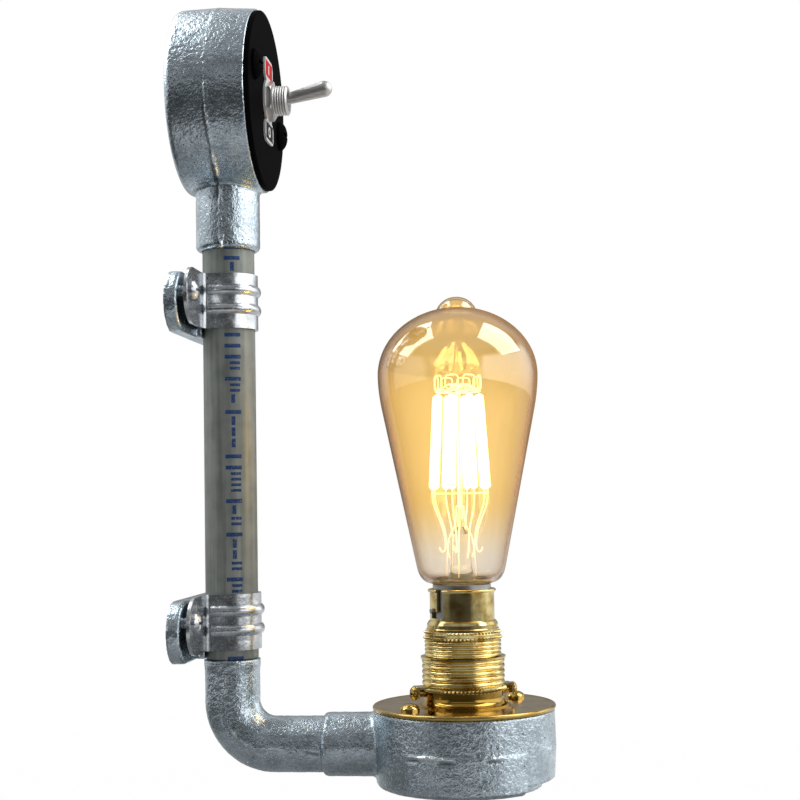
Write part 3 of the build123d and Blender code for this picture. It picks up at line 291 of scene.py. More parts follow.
def add_node(tree, kind, settings=None, out=0, **sockets):
    """Adds one node to a tree: its settings first, then the values or links of its sockets,
    where a name's underscores stand for spaces and i with a number for a place. Gives back
    one output, or a list of them."""
    node = tree.nodes.new("ShaderNode" + kind)
    for key, value in (settings or {}).items():
        setattr(node, key, value)
    for key, value in sockets.items():
        place = int(key[1:]) if key[1:].isdigit() else key.replace("_", " ")
        plug(tree, node.inputs[place], value)
    if out is None:
        return None
    if isinstance(out, tuple):
        return [Wire(tree, node.outputs[name]) for name in out]
    return Wire(tree, node.outputs[out])


def plug(tree, socket, value):
    """Links a wire to a socket, or sets the socket to a number, colour or vector."""
    if isinstance(value, Wire):
        tree.links.new(value.socket, socket)
    elif hasattr(socket.default_value, "__len__") and len(socket.default_value) == 4:
        socket.default_value = (*value[:3], 1.0)
    else:
        socket.default_value = value


def operators(operation):
    """A Wire's operator that adds a Math node, and its reflected form."""

    def straight(self, *other):
        return self.math(operation, self, *other)

    def reflected(self, other):
        return self.math(operation, other, self)

    return straight, reflected


class Wire:
    """One output socket. Arithmetic between wires and numbers adds Math nodes."""

    def __init__(self, tree, socket):
        self.tree = tree
        self.socket = socket

    def math(self, operation, *values):
        """The output of a Math node whose inputs are the values, in order."""
        values = {f"i{place}": value for place, value in enumerate(values)}
        return add_node(self.tree, "Math", {"operation": operation}, **values)

    __add__, __radd__ = operators("ADD")
    __sub__, __rsub__ = operators("SUBTRACT")
    __mul__, __rmul__ = operators("MULTIPLY")
    __truediv__, __rtruediv__ = operators("DIVIDE")
    __mod__, __rmod__ = operators("FLOORED_MODULO")
    __pow__, __rpow__ = operators("POWER")
    __or__, __ror__ = operators("MAXIMUM")  # a | b is the larger of two masks
    __gt__, __lt__ = operators("GREATER_THAN")  # a < b is b > a

    def __abs__(self):
        return self.math("ABSOLUTE", self)

    def floor(self):
        """The whole number below."""
        return self.math("FLOOR", self)

    def ramp(self, low_edge, high_edge):
        """0 to 1, smoothly, as the value goes from one edge to the other."""
        edges = {"From_Min": low_edge, "From_Max": high_edge}
        smooth = {"interpolation_type": "SMOOTHSTEP"}
        return add_node(self.tree, "MapRange", smooth, Value=self, **edges)


class Finish:
    """A material, or the world, and the nodes it is made of."""

    def __init__(self, name=None, owner=None):
        self.owner = owner or bpy.data.materials.new(name)
        self.owner.use_nodes = True
        self.tree = self.owner.node_tree
        self.tree.nodes.clear()

    def node(self, kind, settings=None, out=0, **sockets):
        return add_node(self.tree, kind, settings, out, **sockets)

    def place(self):
        """The point on the surface in the frame, in metres."""
        return self.node("TexCoord", out="Object")

    def axes(self):
        """The point's X, Y and Z in millimetres."""
        axes = self.node("SeparateXYZ", out=(0, 1, 2), Vector=self.place())
        return [axis * (1 / MM) for axis in axes]

    def noise(self, size, detail=2.0, roughness=0.5, stretch=(1, 1, 1), distortion=0.0):
        """Soft noise from 0 to 1 whose blotches are about size millimetres."""
        return self.node(
            "TexNoise",
            Vector=self.node("Mapping", Vector=self.place(), Scale=stretch),
            Scale=1.0 / (size * MM),
            Detail=detail,
            Roughness=roughness,
            Distortion=distortion,
        )

    def mix(self, factor, first, second):
        """A colour between two colours."""
        return self.node("Mix", {"data_type": "RGBA"}, out=2, i0=factor, i6=first, i7=second)

    def bump(self, height, depth):
        """A normal from a height of 0 to 1 that stands for depth millimetres."""
        return self.node("Bump", Height=height, Distance=depth * MM, Strength=1.0)

    def surface(self, **sockets):
        """Ends the material in one principled shader."""
        return self.output(self.node("BsdfPrincipled", **sockets))

    def output(self, shader):
        """Ends the material, or the world, in a shader."""
        kind = "World" if isinstance(self.owner, bpy.types.World) else "Material"
        self.node("Output" + kind, out=None, Surface=shader)
        return self.owner


# ---- finishes ----


def galvanised_casting():
    """Hot-dipped cast iron: blue-grey, rippled, with small dark pits. Its colour is lighter
    on the ripples' high spots, a painted highlight, and darker in their hollows, painted
    shade, over tone that differs at random; a painted highlight runs along the mould's
    seam, with painted shade in the crease beside it."""
    look = bpy.context.scene.casting_look
    finish = Finish("galvanised_casting")
    broad = finish.noise(9.0, 3.0, 0.55)
    ripple = finish.noise(1.25, 1.0, 0.5, distortion=1.0)
    grain = finish.noise(0.5, 2.0, 0.6)
    spacing = 2.6  # of the pits, in millimetres
    pits = finish.node("TexVoronoi", {"feature": "F1"}, Vector=finish.place(), Scale=1 / (spacing * MM))
    pitted = (1.0 - pits.ramp(0.10, 0.17)) * finish.noise(7.0).ramp(0.50, 0.62)
    # The ripple share of this tone lightens the ripples' high spots, a painted highlight, and darkens
    # their hollows, painted shade; the broad share is tone at random.
    tone = (0.4 * ripple + 0.6 * broad).ramp(0.36, 0.64)
    seam = finish.node("Attribute", {"attribute_name": "seam"}, out="Fac")
    skin = finish.mix(tone, look.dark[:], look.light[:])
    # Painted highlight: a near-white colour along the raised seam line.
    skin = finish.mix(seam.ramp(0.2, 0.9), skin, look.wear_and_seam_highlight[:])
    # Painted shade: the crease beside the seam is darkened with the pits' colour.
    painted_crease_shade = (-1.0 * seam).ramp(0.10, 0.6)
    height = 0.88 * ripple + 0.12 * grain - 0.4 * pitted
    return finish.surface(
        Base_Color=finish.mix((0.85 * pitted) | (0.7 * painted_crease_shade), skin, look.pit_and_crease_shade[:]),
        Metallic=1.0 - 0.5 * pitted,
        Roughness=0.20 + 0.12 * grain + 0.3 * pitted,
        Normal=finish.bump(height, look.bump),
    )


def conduit_zinc():
    """Drawn galvanised tube: greenish grey, faint lengthwise bands and a printed row of
    blue dashes, where chance picks a bar, a pair or a long dash for each pitch."""
    look = bpy.context.scene.conduit_look
    finish = Finish("conduit_zinc")
    pitch, aside = 4.2, 3.5  # of the printed row, in millimetres
    bars, pairs = 0.5, 0.72  # shares of bars, and of bars and pairs
    x, y, z = finish.axes()
    turn = finish.node("Math", {"operation": "ARCTAN2"}, i0=x - float(PIPE_X), i1=-1.0 * y)
    across = turn * float(PIPE_R) - aside
    bands = finish.noise(2.6, 2.0, 0.6, stretch=(1, 1, 0.03))
    cloud = finish.noise(7.0, 3.0)
    tone = (0.6 * bands + 0.4 * cloud).ramp(0.32, 0.68)
    zinc = finish.mix(tone, look.dark[:], look.light[:])
    pick = finish.node("TexWhiteNoise", {"noise_dimensions": "1D"}, W=(z / pitch).floor())
    bar = part(z, pitch, 1.5) * within(across, 3.1) * (pick < bars)
    pair = part(z, pitch / 2, 1.1) * within(across - 0.8, 2.0) * (pick > bars) * (pick < pairs)
    along = part(z, pitch, 3.3) * within(across, 0.75) * (pick > pairs)
    wear_and_seam_highlight = finish.noise(0.5, 2.0).ramp(0.30, 0.42)
    ink = (bar | pair | along).ramp(0.3, 0.6) * wear_and_seam_highlight * 0.96
    grain = finish.noise(0.35, 2.0, stretch=(1, 1, 0.2))
    return finish.surface(
        Base_Color=finish.mix(ink, zinc, look.ink[:]),
        Metallic=0.45 - 0.40 * ink,
        Specular_IOR_Level=0.25,
        Roughness=0.42 + 0.14 * cloud,
        Normal=finish.bump(0.6 * bands + 0.4 * grain, 0.03),
    )


def part(along, pitch, length):
    """1 on the first part of every pitch, 0 on the rest."""
    return (along % pitch) < length


def within(across, half):
    """1 within half of a middle line, 0 elsewhere."""
    return abs(across) < half


def pressed_zinc():
    """Bright zinc plate on pressed steel, with soft draw lines and a few dull spots."""
    finish = Finish("saddle_zinc")
    lines = finish.noise(1.6, 2.0, 0.6, stretch=(1, 0.25, 1))
    dents = finish.noise(5.0, 2.0, 0.5)
    spots = finish.noise(0.8, 3.0, 0.7).ramp(0.60, 0.72)
    tone = finish.noise(6.0, 2.0).ramp(0.3, 0.7)
    colour = finish.mix(tone, (0.46, 0.49, 0.52), (0.70, 0.73, 0.76))
    return finish.surface(
        Base_Color=finish.mix(0.5 * spots, colour, (0.05, 0.06, 0.07)),
        Metallic=1.0,
        Roughness=0.19 + 0.10 * lines + 0.25 * spots,
        Normal=finish.bump(0.5 * lines + 0.2 * spots + 2.0 * dents, 0.12),
    )


def black_enamel():
    """Deep black paint with the faintest orange peel and a little dust."""
    finish = Finish("black_enamel")
    peel = finish.noise(0.9, 1.0)
    dust = finish.noise(0.3, 2.0).ramp(0.72, 0.80)
    return finish.surface(
        Base_Color=finish.mix(dust, (0.003, 0.003, 0.0035), (0.010, 0.010, 0.012)),
        Roughness=0.42 + 0.12 * peel,
        Specular_IOR_Level=0.003,
        Normal=finish.bump(peel, 0.01),
    )


def satin_nickel():
    """Turned and plated steel: fine rings and a soft shine."""
    finish = Finish("satin_nickel")
    rings = finish.noise(0.25, 2.0, stretch=(3, 1, 1))
    cloud = finish.noise(2.5, 2.0)
    return finish.surface(
        Base_Color=finish.mix(cloud, (0.50, 0.50, 0.49), (0.66, 0.66, 0.65)),
        Metallic=1.0,
        Roughness=0.40 + 0.10 * rings,
        Normal=finish.bump(rings, 0.012),
    )


def polished_brass(name, painted_reflection_share):
    """Bright brass with faint cloudy tarnish and polishing lines. The last argument is how much
    of the deeper colour it has at least, from 0 to 1; above 0 it is a painted reflection,
    deeper and browner, of the brass around."""
    look = bpy.context.scene.brass_look
    finish = Finish(name)
    cloud = finish.noise(6.0, 3.0).ramp(0.35, 0.75)
    lines = finish.noise(0.5, 2.0, stretch=(1, 1, 4))
    specks = finish.noise(0.7, 2.0).ramp(0.66, 0.76)
    # The deeper colour is real tarnish in the cloud, and painted reflection where the share is set.
    colour = finish.mix(painted_reflection_share + (1.0 - painted_reflection_share) * cloud, look.bright[:], look.tarnish_and_painted_reflection[:])
    return finish.surface(
        Base_Color=finish.mix(0.35 * specks, colour, (0.28, 0.13, 0.03)),
        Metallic=1.0,
        Roughness=0.11 + 0.07 * lines + 0.12 * specks,
        Normal=finish.bump(lines, 0.006),
    )


def amber_glass():
    """Amber-coated glass: nearly clear at the neck, browner at the rim where the eye looks
    along the coat, with a painted glow of the filaments' light, strongest at their height
    where the glass faces the eye, and at the tip."""
    look = bpy.context.scene.bulb_look
    finish = Finish("amber_glass")
    height = finish.axes()[2] - float(PLATE_Z)
    middle, reach = float(CAGE_FOOT + CAGE_HEAD) / 2, 68.0  # of the filaments' light
    lit = 1.0 - (abs(height - middle) / reach).ramp(0.1, 1.0)
    # Painted glow at the bulb's tip.
    tip = 0.65 * height.ramp(118.0, 144.0)
    streaks = finish.noise(14.0, 2.0, stretch=(1, 1, 0.4))
    neck = 1.0 - height.ramp(52.0, 78.0)
    tint = finish.mix(neck, look.amber[:], look.clear[:])
    edge = finish.node("LayerWeight", out="Facing", Blend=0.5)
    # Painted glow: brighter where the glass faces the eye.
    core = 1.0 - edge.ramp(0.0, 0.5)
    glow = finish.mix(streaks, look.glow[:], look.glow_pale[:])
    glass = finish.node(
        "BsdfPrincipled",
        Base_Color=finish.mix(0.9 * edge.ramp(0.25, 0.90), tint, look.rim[:]),
        Transmission_Weight=1.0,
        IOR=GLASS_IOR,
        Specular_IOR_Level=0.06,
        Roughness=0.0,
        Coat_Weight=height.ramp(112.0, 126.0) * (1.0 - edge.ramp(0.55, 0.78)),
        Coat_Roughness=0.0,
        Coat_IOR=1.65,
        Emission_Color=finish.mix((lit * (0.35 + 0.65 * core)) | tip, (0.0, 0.0, 0.0), glow),
        Emission_Strength=look.strength,
    )
    brown = finish.mix(streaks, look.brown[:], look.rim[:])
    coat = finish.node("BsdfPrincipled", Base_Color=brown, Roughness=0.4, Specular_IOR_Level=0.02)
    shown = 0.9 * edge.ramp(0.55, 0.88) * (1.0 - 0.6 * neck)
    return finish.output(finish.node("MixShader", i0=shown, i1=glass, i2=coat))


def clear_glass(name, lit):
    """Clear lamp glass with the faintest smoke. Lit is how bright it shines."""
    finish = Finish(name)
    return finish.surface(
        Base_Color=finish.mix(finish.noise(4.0), (0.90, 0.86, 0.78), (1.0, 0.97, 0.92)),
        Transmission_Weight=1.0,
        IOR=GLASS_IOR,
        Roughness=0.02,
        Emission_Color=(1.0, 0.82, 0.46),
        Emission_Strength=lit,
    )


def plain(name, dark, light, rough, metallic=0.0):
    """A finish that is one colour with soft blotches and a fine grain."""
    finish = Finish(name)
    fine = finish.noise(0.4, 2.0)
    return finish.surface(
        Base_Color=finish.mix(finish.noise(3.0, 2.0), dark, light),
        Metallic=metallic,
        Roughness=rough + 0.12 * fine,
        Normal=finish.bump(fine, 0.02),
    )


def phosphor():
    """Lit yellow phosphor over a row of small chips."""
    finish = Finish("filament_phosphor")
    pitch = 1.2  # of the chips, in millimetres
    chips = (finish.axes()[2] % pitch) / pitch
    return finish.surface(
        Base_Color=(1.0, 0.72, 0.30),
        Emission_Color=finish.mix(chips, (1.0, 0.80, 0.46), (1.0, 0.88, 0.60)),
        Emission_Strength=bpy.context.scene.bulb_look.filament,
    )


def lit_wire():
    """Thin steel wire that the filaments light until it glares."""
    look = bpy.context.scene.bulb_look
    finish = Finish("lit_wire")
    near = (finish.axes()[2] - float(PLATE_Z)).ramp(40.0, 72.0)
    return finish.surface(
        Base_Color=finish.mix(finish.noise(2.0), (0.62, 0.56, 0.44), (0.85, 0.80, 0.68)),
        Metallic=0.8,
        Roughness=0.25 + 0.1 * finish.noise(0.5),
        Emission_Color=finish.mix(near, (0.25, 0.15, 0.04), (1.0, 0.86, 0.52)),
        Emission_Strength=look.wire,
    )


def indicator_face():
    """Satin plate with a red field with a bar over the lever and a black one with a ring
    under it, each in a pale border."""
    finish = Finish("indicator_silver")
    middle, half_height, half_width = 12.2, 3.2, 6.5  # of a field, in millimetres
    x, y, z = finish.axes()
    front = x > float(high("indicator_plate")[0]) - 0.25
    upper, lower = z - middle, z + middle
    red = front * within(upper, half_height) * within(y, half_width)
    black = front * within(lower, half_height) * within(y, half_width)
    bar = front * within(upper, 1.8) * within(y, 0.6)
    ring = front * within((lower * lower + y * y) ** 0.5 - 1.6, 0.45)
    grain = finish.noise(0.4, 2.0, stretch=(1, 6, 1))
    base = finish.mix(grain, (0.62, 0.62, 0.62), (0.84, 0.84, 0.83))
    fields = finish.mix(black, finish.mix(red, base, (0.48, 0.004, 0.006)), (0.006, 0.006, 0.008))
    return finish.surface(
        Base_Color=finish.mix(bar | ring, fields, (0.80, 0.80, 0.80)),
        Metallic=0.5 - 0.5 * (red | black),
        Specular_IOR_Level=0.1,
        Roughness=0.34 + 0.15 * grain,
        Normal=finish.bump(grain, 0.01),
    )


def striped_insulation():
    """Green wire insulation with a yellow stripe."""
    finish = Finish("insulation_green_yellow")
    pitch, width, steepness = 60.0, 22.0, 40.0
    x, y, z = finish.axes()
    stripe = part(x + z + steepness * y, pitch, width)
    return finish.surface(
        Base_Color=finish.mix(stripe, (0.03, 0.24, 0.05), (0.75, 0.62, 0.04)),
        Roughness=0.45 + 0.1 * finish.noise(0.5),
    )


# ---- looks that a user would change ----


def colour(name, words, default):
    """A colour that a user can change."""
    return bpy.props.FloatVectorProperty(
        name=name, description=words, subtype="COLOR", size=3, min=0, max=1, default=default
    )


def number(name, words, default, least=0.0, most=100.0):
    """A brightness or a size that a user can change."""
    return bpy.props.FloatProperty(name=name, description=words, default=default, min=least, max=most)


def millimetres(name, words, *numbers):
    """A size in millimetres: its default, least and most."""
    return number(name, words + ", in millimetres", *numbers)


class CastingLook(bpy.types.PropertyGroup):
    """The galvanised castings' colours and relief."""

    # Painted light: the hollows' colour is painted shade and the high spots' colour a painted
    # highlight, mixed by the ripples and by blotches at random.
    dark: colour("Hollows", "Colour of the zinc in the hollows", (0.40, 0.47, 0.52))
    light: colour("High spots", "Colour of the zinc on the high spots", (0.62, 0.72, 0.79))
    # Painted highlight along the mould's seam.
    wear_and_seam_highlight: colour("Painted seam highlight", "Colour on the mould's seam", (0.90, 0.94, 0.96))
    # This colour also paints shade into the crease beside the seam.
    pit_and_crease_shade: colour("Pits", "Colour in the small pits", (0.035, 0.045, 0.05))
    relief: millimetres("Relief", "Depth of the cast ripples in the surface itself", 0.16, 0.0, 0.5)
    seam: millimetres("Seam", "Height of the line between the mould's halves", 0.60, 0.0, 0.8)
    bump: millimetres("Bump", "Depth of the finer ripples", 0.26, 0.0, 1.0)
    cell: millimetres("Cell", "Size of the castings' mesh cells", 0.55, 0.4, 2.0)


class ConduitLook(bpy.types.PropertyGroup):
    """The conduit's zinc and ink."""

    dark: colour("Dark bands", "Colour of the darker bands", (0.17, 0.185, 0.17))
    light: colour("Light bands", "Colour of the lighter bands", (0.29, 0.31, 0.285))
    ink: colour("Ink", "Colour of the printed dashes", (0.004, 0.040, 0.17))


class BrassLook(bpy.types.PropertyGroup):
    """The brass parts' colours."""

    bright: colour("Bright", "Colour of clean brass", (0.88, 0.73, 0.34))
    # The deeper colour: tarnish, and on the plate and collar a painted reflection of the brass around.
    tarnish_and_painted_reflection: colour("Deep", "Colour of tarnished brass", (0.42, 0.26, 0.05))


class BulbLook(bpy.types.PropertyGroup):
    """The bulb's glass and light."""

    amber: colour("Amber", "Tint of the glass", (0.785, 0.615, 0.33))
    clear: colour("Clear", "Tint of the glass near the neck", (0.81, 0.76, 0.70))
    rim: colour("Rim", "Tint where the eye looks along the coat", (0.42, 0.22, 0.07))
    brown: colour("Brown", "Colour of the coat at the very rim", (0.20, 0.09, 0.025))
    glow: colour("Glow", "Colour of the light in the glass", (1.0, 0.72, 0.28))
    glow_pale: colour("Pale glow", "Colour of the brighter streaks", (1.0, 0.86, 0.48))
    strength: number("Glow strength", "Brightness of the glass", 0.13)
    filament: number("Filament strength", "Brightness of the filaments", 7.0)
    wire: number("Wire strength", "Brightness of the lit wires", 2.4)
    filament_r: millimetres("Filament radius", "Radius of one filament", 1.5, 0.5, 1.6)
    wire_r: millimetres("Wire radius", "Radius of the cage's wires", 0.28, 0.1, 0.6)


class StudioLook(bpy.types.PropertyGroup):
    """The studio's light."""

    dim: number("Dim", "Brightness of the studio's dark front", 0.06)
    left_card: number("Left card", "Brightness of the white card at the left", 0.65)
    right_card: number("Right card", "Brightness of the white card at the right", 1.7)
    strip: number("Strip", "Brightness of the strip light over the camera", 0.35)
    ceiling: number("Ceiling", "Brightness of the pale ceiling", 0.32)
    softbox: number("Softboxes", "Power of each softbox overhead, in watts", 3.2)


LOOKS = {
    "casting_look": CastingLook,
    "conduit_look": ConduitLook,
    "brass_look": BrassLook,
    "bulb_look": BulbLook,
    "studio_look": StudioLook,
}


# ---- shapes ----

# The castings' seats, bores and backs stay smooth. Each pair holds the places at which the
# relief starts and is whole: radii, or distances from a seat's edge and from the wall.
LID_SEAT, PLATE_SEAT = (33.2, 34.2), (31.2, 32.4)
SWITCH_BORE, LAMP_BORE, ELBOW_BORE = (10.6, 11.6), (10.3, 11.2), (9.3, 10.0)
EDGE, BACK = (0.0, 0.6), (0.3, 1.5)
LID_PLANE = 30.0
SWITCH_SPOUT_Z, LAMP_SPOUT_X = -30, LAMP_X - 29  # past these a bore counts, not a seat
NO_SEAM = 50.0  # a distance at which nothing of a seam is left


def cast_skin(node, name, shape):
    """A node's surface copied, remeshed to even cells, pulled in by the cast relief and
    pushed out along the mould's seam. Shape gives, for points and their normals, how much
    of the relief each takes, from 0 to 1, its distance across the seam, how much of the
    seam's height it takes and how far the seam wanders."""
    look = bpy.context.scene.casting_look
    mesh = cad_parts[node].data.copy()
    mesh.name = name
    mesh.materials.clear()
    same_point = 1e-6  # metres
    solid = bmesh.new()
    solid.from_mesh(mesh)
    bmesh.ops.remove_doubles(solid, verts=solid.verts, dist=same_point)
    solid.to_mesh(mesh)
    solid.free()
    carrier = bpy.data.objects.new(name + "_blank", mesh)
    bpy.context.scene.collection.objects.link(carrier)
    cells = carrier.modifiers.new("cells", "REMESH")
    cells.mode = "VOXEL"
    cells.voxel_size = look.cell * MM
    ready = carrier.evaluated_get(bpy.context.evaluated_depsgraph_get())
    even = bpy.data.meshes.new_from_object(ready)
    even.name = name
    bpy.data.objects.remove(carrier)
    count = len(even.vertices)
    points, normals = np.empty(count * 3), np.empty(count * 3)
    even.vertices.foreach_get("co", points)
    even.vertex_normals.foreach_get("vector", normals)
    points, normals = points.reshape(-1, 3) / MM, normals.reshape(-1, 3)
    weight, across, seam, wander = shape(points, normals)
    line = weight * seam * flash(across, points, wander)
    lift = look.seam * line - look.relief * weight * cast_relief(points)
    moved = np.clip(points + normals * lift[:, None], low(node), high(node))
    even.vertices.foreach_set("co", (moved * MM).ravel())
    even.attributes.new("seam", "FLOAT", "POINT").data.foreach_set("value", line)
    even.update()
    return even


def switch_box_skin(points, normals):
    """All of the outside but the flat back, the lid's seat and the spout's bore. The seam
    lies at the spout's axis."""
    x, y, z = points.T
    spout = np.where(z < SWITCH_SPOUT_Z, smoothstep(*SWITCH_BORE, np.hypot(x - PIPE_X, y)), 1)
    outside = smoothstep(*LID_SEAT, np.hypot(y, z)) * spout
    edges = smoothstep(*BACK, x) * smoothstep(*EDGE, LID_PLANE - x)
    stronger_below = 0.15 + 0.85 * smoothstep(-4, 12, -z)
    return outside * edges, x - PIPE_X, stronger_below, 0.4


def lamp_box_skin(points, normals):
    """All of the outside, the bottom included, but the plate's seat and the spout's bore.
    The seam lies at the spout's axis."""
    x, y, z = points.T
    spout = np.where(x < LAMP_SPOUT_X, smoothstep(*LAMP_BORE, np.hypot(y, z - ARM_Z)), 1)
    bottom = 1 - smoothstep(-0.6, -0.2, normals[:, 2])
    outside = np.maximum(smoothstep(*PLATE_SEAT, np.hypot(x - LAMP_X, y)) * spout, bottom)
    edge = smoothstep(*EDGE, high("lamp_box")[2] - z)
    patchy = smoothstep(-0.2, 0.2, noise(points + 33, 16.0))
    return outside * edge, z - ARM_Z, patchy, 0.4


def elbow_skin(points, normals):
    """The outside of the bent pipe: the seam runs along both its flanks, halfway between
    the inside and the outside of the bend."""
    x, y, z = points.T
    bend_x, bend_z = PIPE_X + ELBOW_BEND_R, ARM_Z + ELBOW_BEND_R
    round_bend = ELBOW_BEND_R - np.hypot(x - bend_x, z - bend_z)
    inward = np.where(z > bend_z, x - PIPE_X, np.where(x > bend_x, z - ARM_Z, round_bend))
    patchy = 0.3 + 0.5 * smoothstep(-0.25, 0.25, noise(points + 71, 5.0))
    return smoothstep(*ELBOW_BORE, np.hypot(inward, y)), inward + 1.0, patchy, 1.3


def saddle_base_skin(points, normals):
    """All of the base but its flat back. It has no seam that shows."""
    return smoothstep(*BACK, points[:, 0]), np.full(len(points), NO_SEAM), 0.0, 0.0


# ---- operators ----


class PieceOperator:
    """What every building step shares."""

    bl_options = {"REGISTER", "UNDO"}

    def execute(self, context):
        self.build(context.scene)
        return {"FINISHED"}


class WALLLIGHT_OT_castings(PieceOperator, bpy.types.Operator):
    """Build the boxes, the elbow and the saddle bases with their cast skin"""

    bl_idname = "wall_light.castings"
    bl_label = "Castings"

    def build(self, scene):
        zinc = galvanised_casting()
        shapes = {
            "switch_box": switch_box_skin,
            "lamp_box": lamp_box_skin,
            "elbow": elbow_skin,
            "upper_saddle_base": saddle_base_skin,
            "lower_saddle_base": saddle_base_skin,
        }
        for node, shape in shapes.items():
            mesh = cast_skin(node, node + "_casting", shape)
            finished(mesh, zinc, "fixture", [node], crease=60.0)


class WALLLIGHT_OT_conduit(PieceOperator, bpy.types.Operator):
    """Finish the conduit and its nipple"""

    bl_idname = "wall_light.conduit"
    bl_label = "Conduit"

    def build(self, scene):
        zinc = conduit_zinc()
        outline = [
            (PIPE_R - PIPE_EDGE, PIPE_END),
            (PIPE_R, PIPE_END + PIPE_EDGE),
            (PIPE_R, PIPE_TOP - PIPE_EDGE),
            (PIPE_R - PIPE_EDGE, PIPE_TOP),
            (BORE_R, PIPE_TOP),
            (BORE_R, PIPE_END),
        ]
        mesh = turned("conduit_tube", outline, PIPE_X, count=128)
        finished(mesh, zinc, "fixture", ["conduit"])
        dress(zinc, "elbow_nipple")


class WALLLIGHT_OT_saddles(PieceOperator, bpy.types.Operator):
    """Finish the saddles' straps and screws"""

    bl_idname = "wall_light.saddles"
    bl_label = "Saddles"

    def build(self, scene):
        zinc = pressed_zinc()
        for place in ("upper", "lower"):
            dress(zinc, place + "_saddle_strap", place + "_saddle_screws")


class WALLLIGHT_OT_switch(PieceOperator, bpy.types.Operator):
    """Finish the lid, the toggle switch and what is behind them"""

    bl_idname = "wall_light.switch"
    bl_label = "Switch"

    def build(self, scene):
        dress(black_enamel(), "switch_lid", "lid_screws")
        dress(indicator_face(), "indicator_plate")
        dress(satin_nickel(), "toggle_hex_nut", "toggle_bushing", "toggle_lever", "toggle_lock_washer")
        dress(plain("switch_case", (0.14, 0.02, 0.015), (0.19, 0.035, 0.025), 0.3), "toggle_body")


class WALLLIGHT_OT_lampholder(PieceOperator, bpy.types.Operator):
    """Finish the brass plate and the lampholder, and build its knurled edges"""

    bl_idname = "wall_light.lampholder"
    bl_label = "Lampholder"

    # name and body, then radius, height over the plate, half the bead's height, number of
    # teeth, their depth and the inner radius
    KNURLS = (
        ("flange_teeth", "fixture", 15.1, 6.1, 0.75, 64, 0.95, 14.2),
        ("ring_knurl_lower", "gallery_ring", 14.05, 25.0, 0.55, 60, 0.85, 12.6),
        ("ring_knurl_upper", "gallery_ring", 13.8, 27.0, 0.55, 60, 0.85, 12.6),
    )

    def build(self, scene):
        brass = polished_brass("polished_brass", 0.0)
        # Plate and collar: copies of the brass made deeper and browner, a painted reflection of the
        # brass around them.
        plate = polished_brass("plate_brass", 0.7)
        dress(plate, "lamp_plate", "plate_screws", "side_screws")
        dress(polished_brass("collar_brass", 1.0), "holder_collar")
        dress(brass, "holder_flange", "holder_skirt", "shade_washer", "shade_ring", "holder_barrel")
        ceramic = plain("holder_ceramic", (0.74, 0.72, 0.66), (0.84, 0.82, 0.77), 0.18)
        dress(ceramic, "holder_insulator")
        for name, body, *sizes in self.KNURLS:
            finished(knurled(name, *sizes), brass, body)


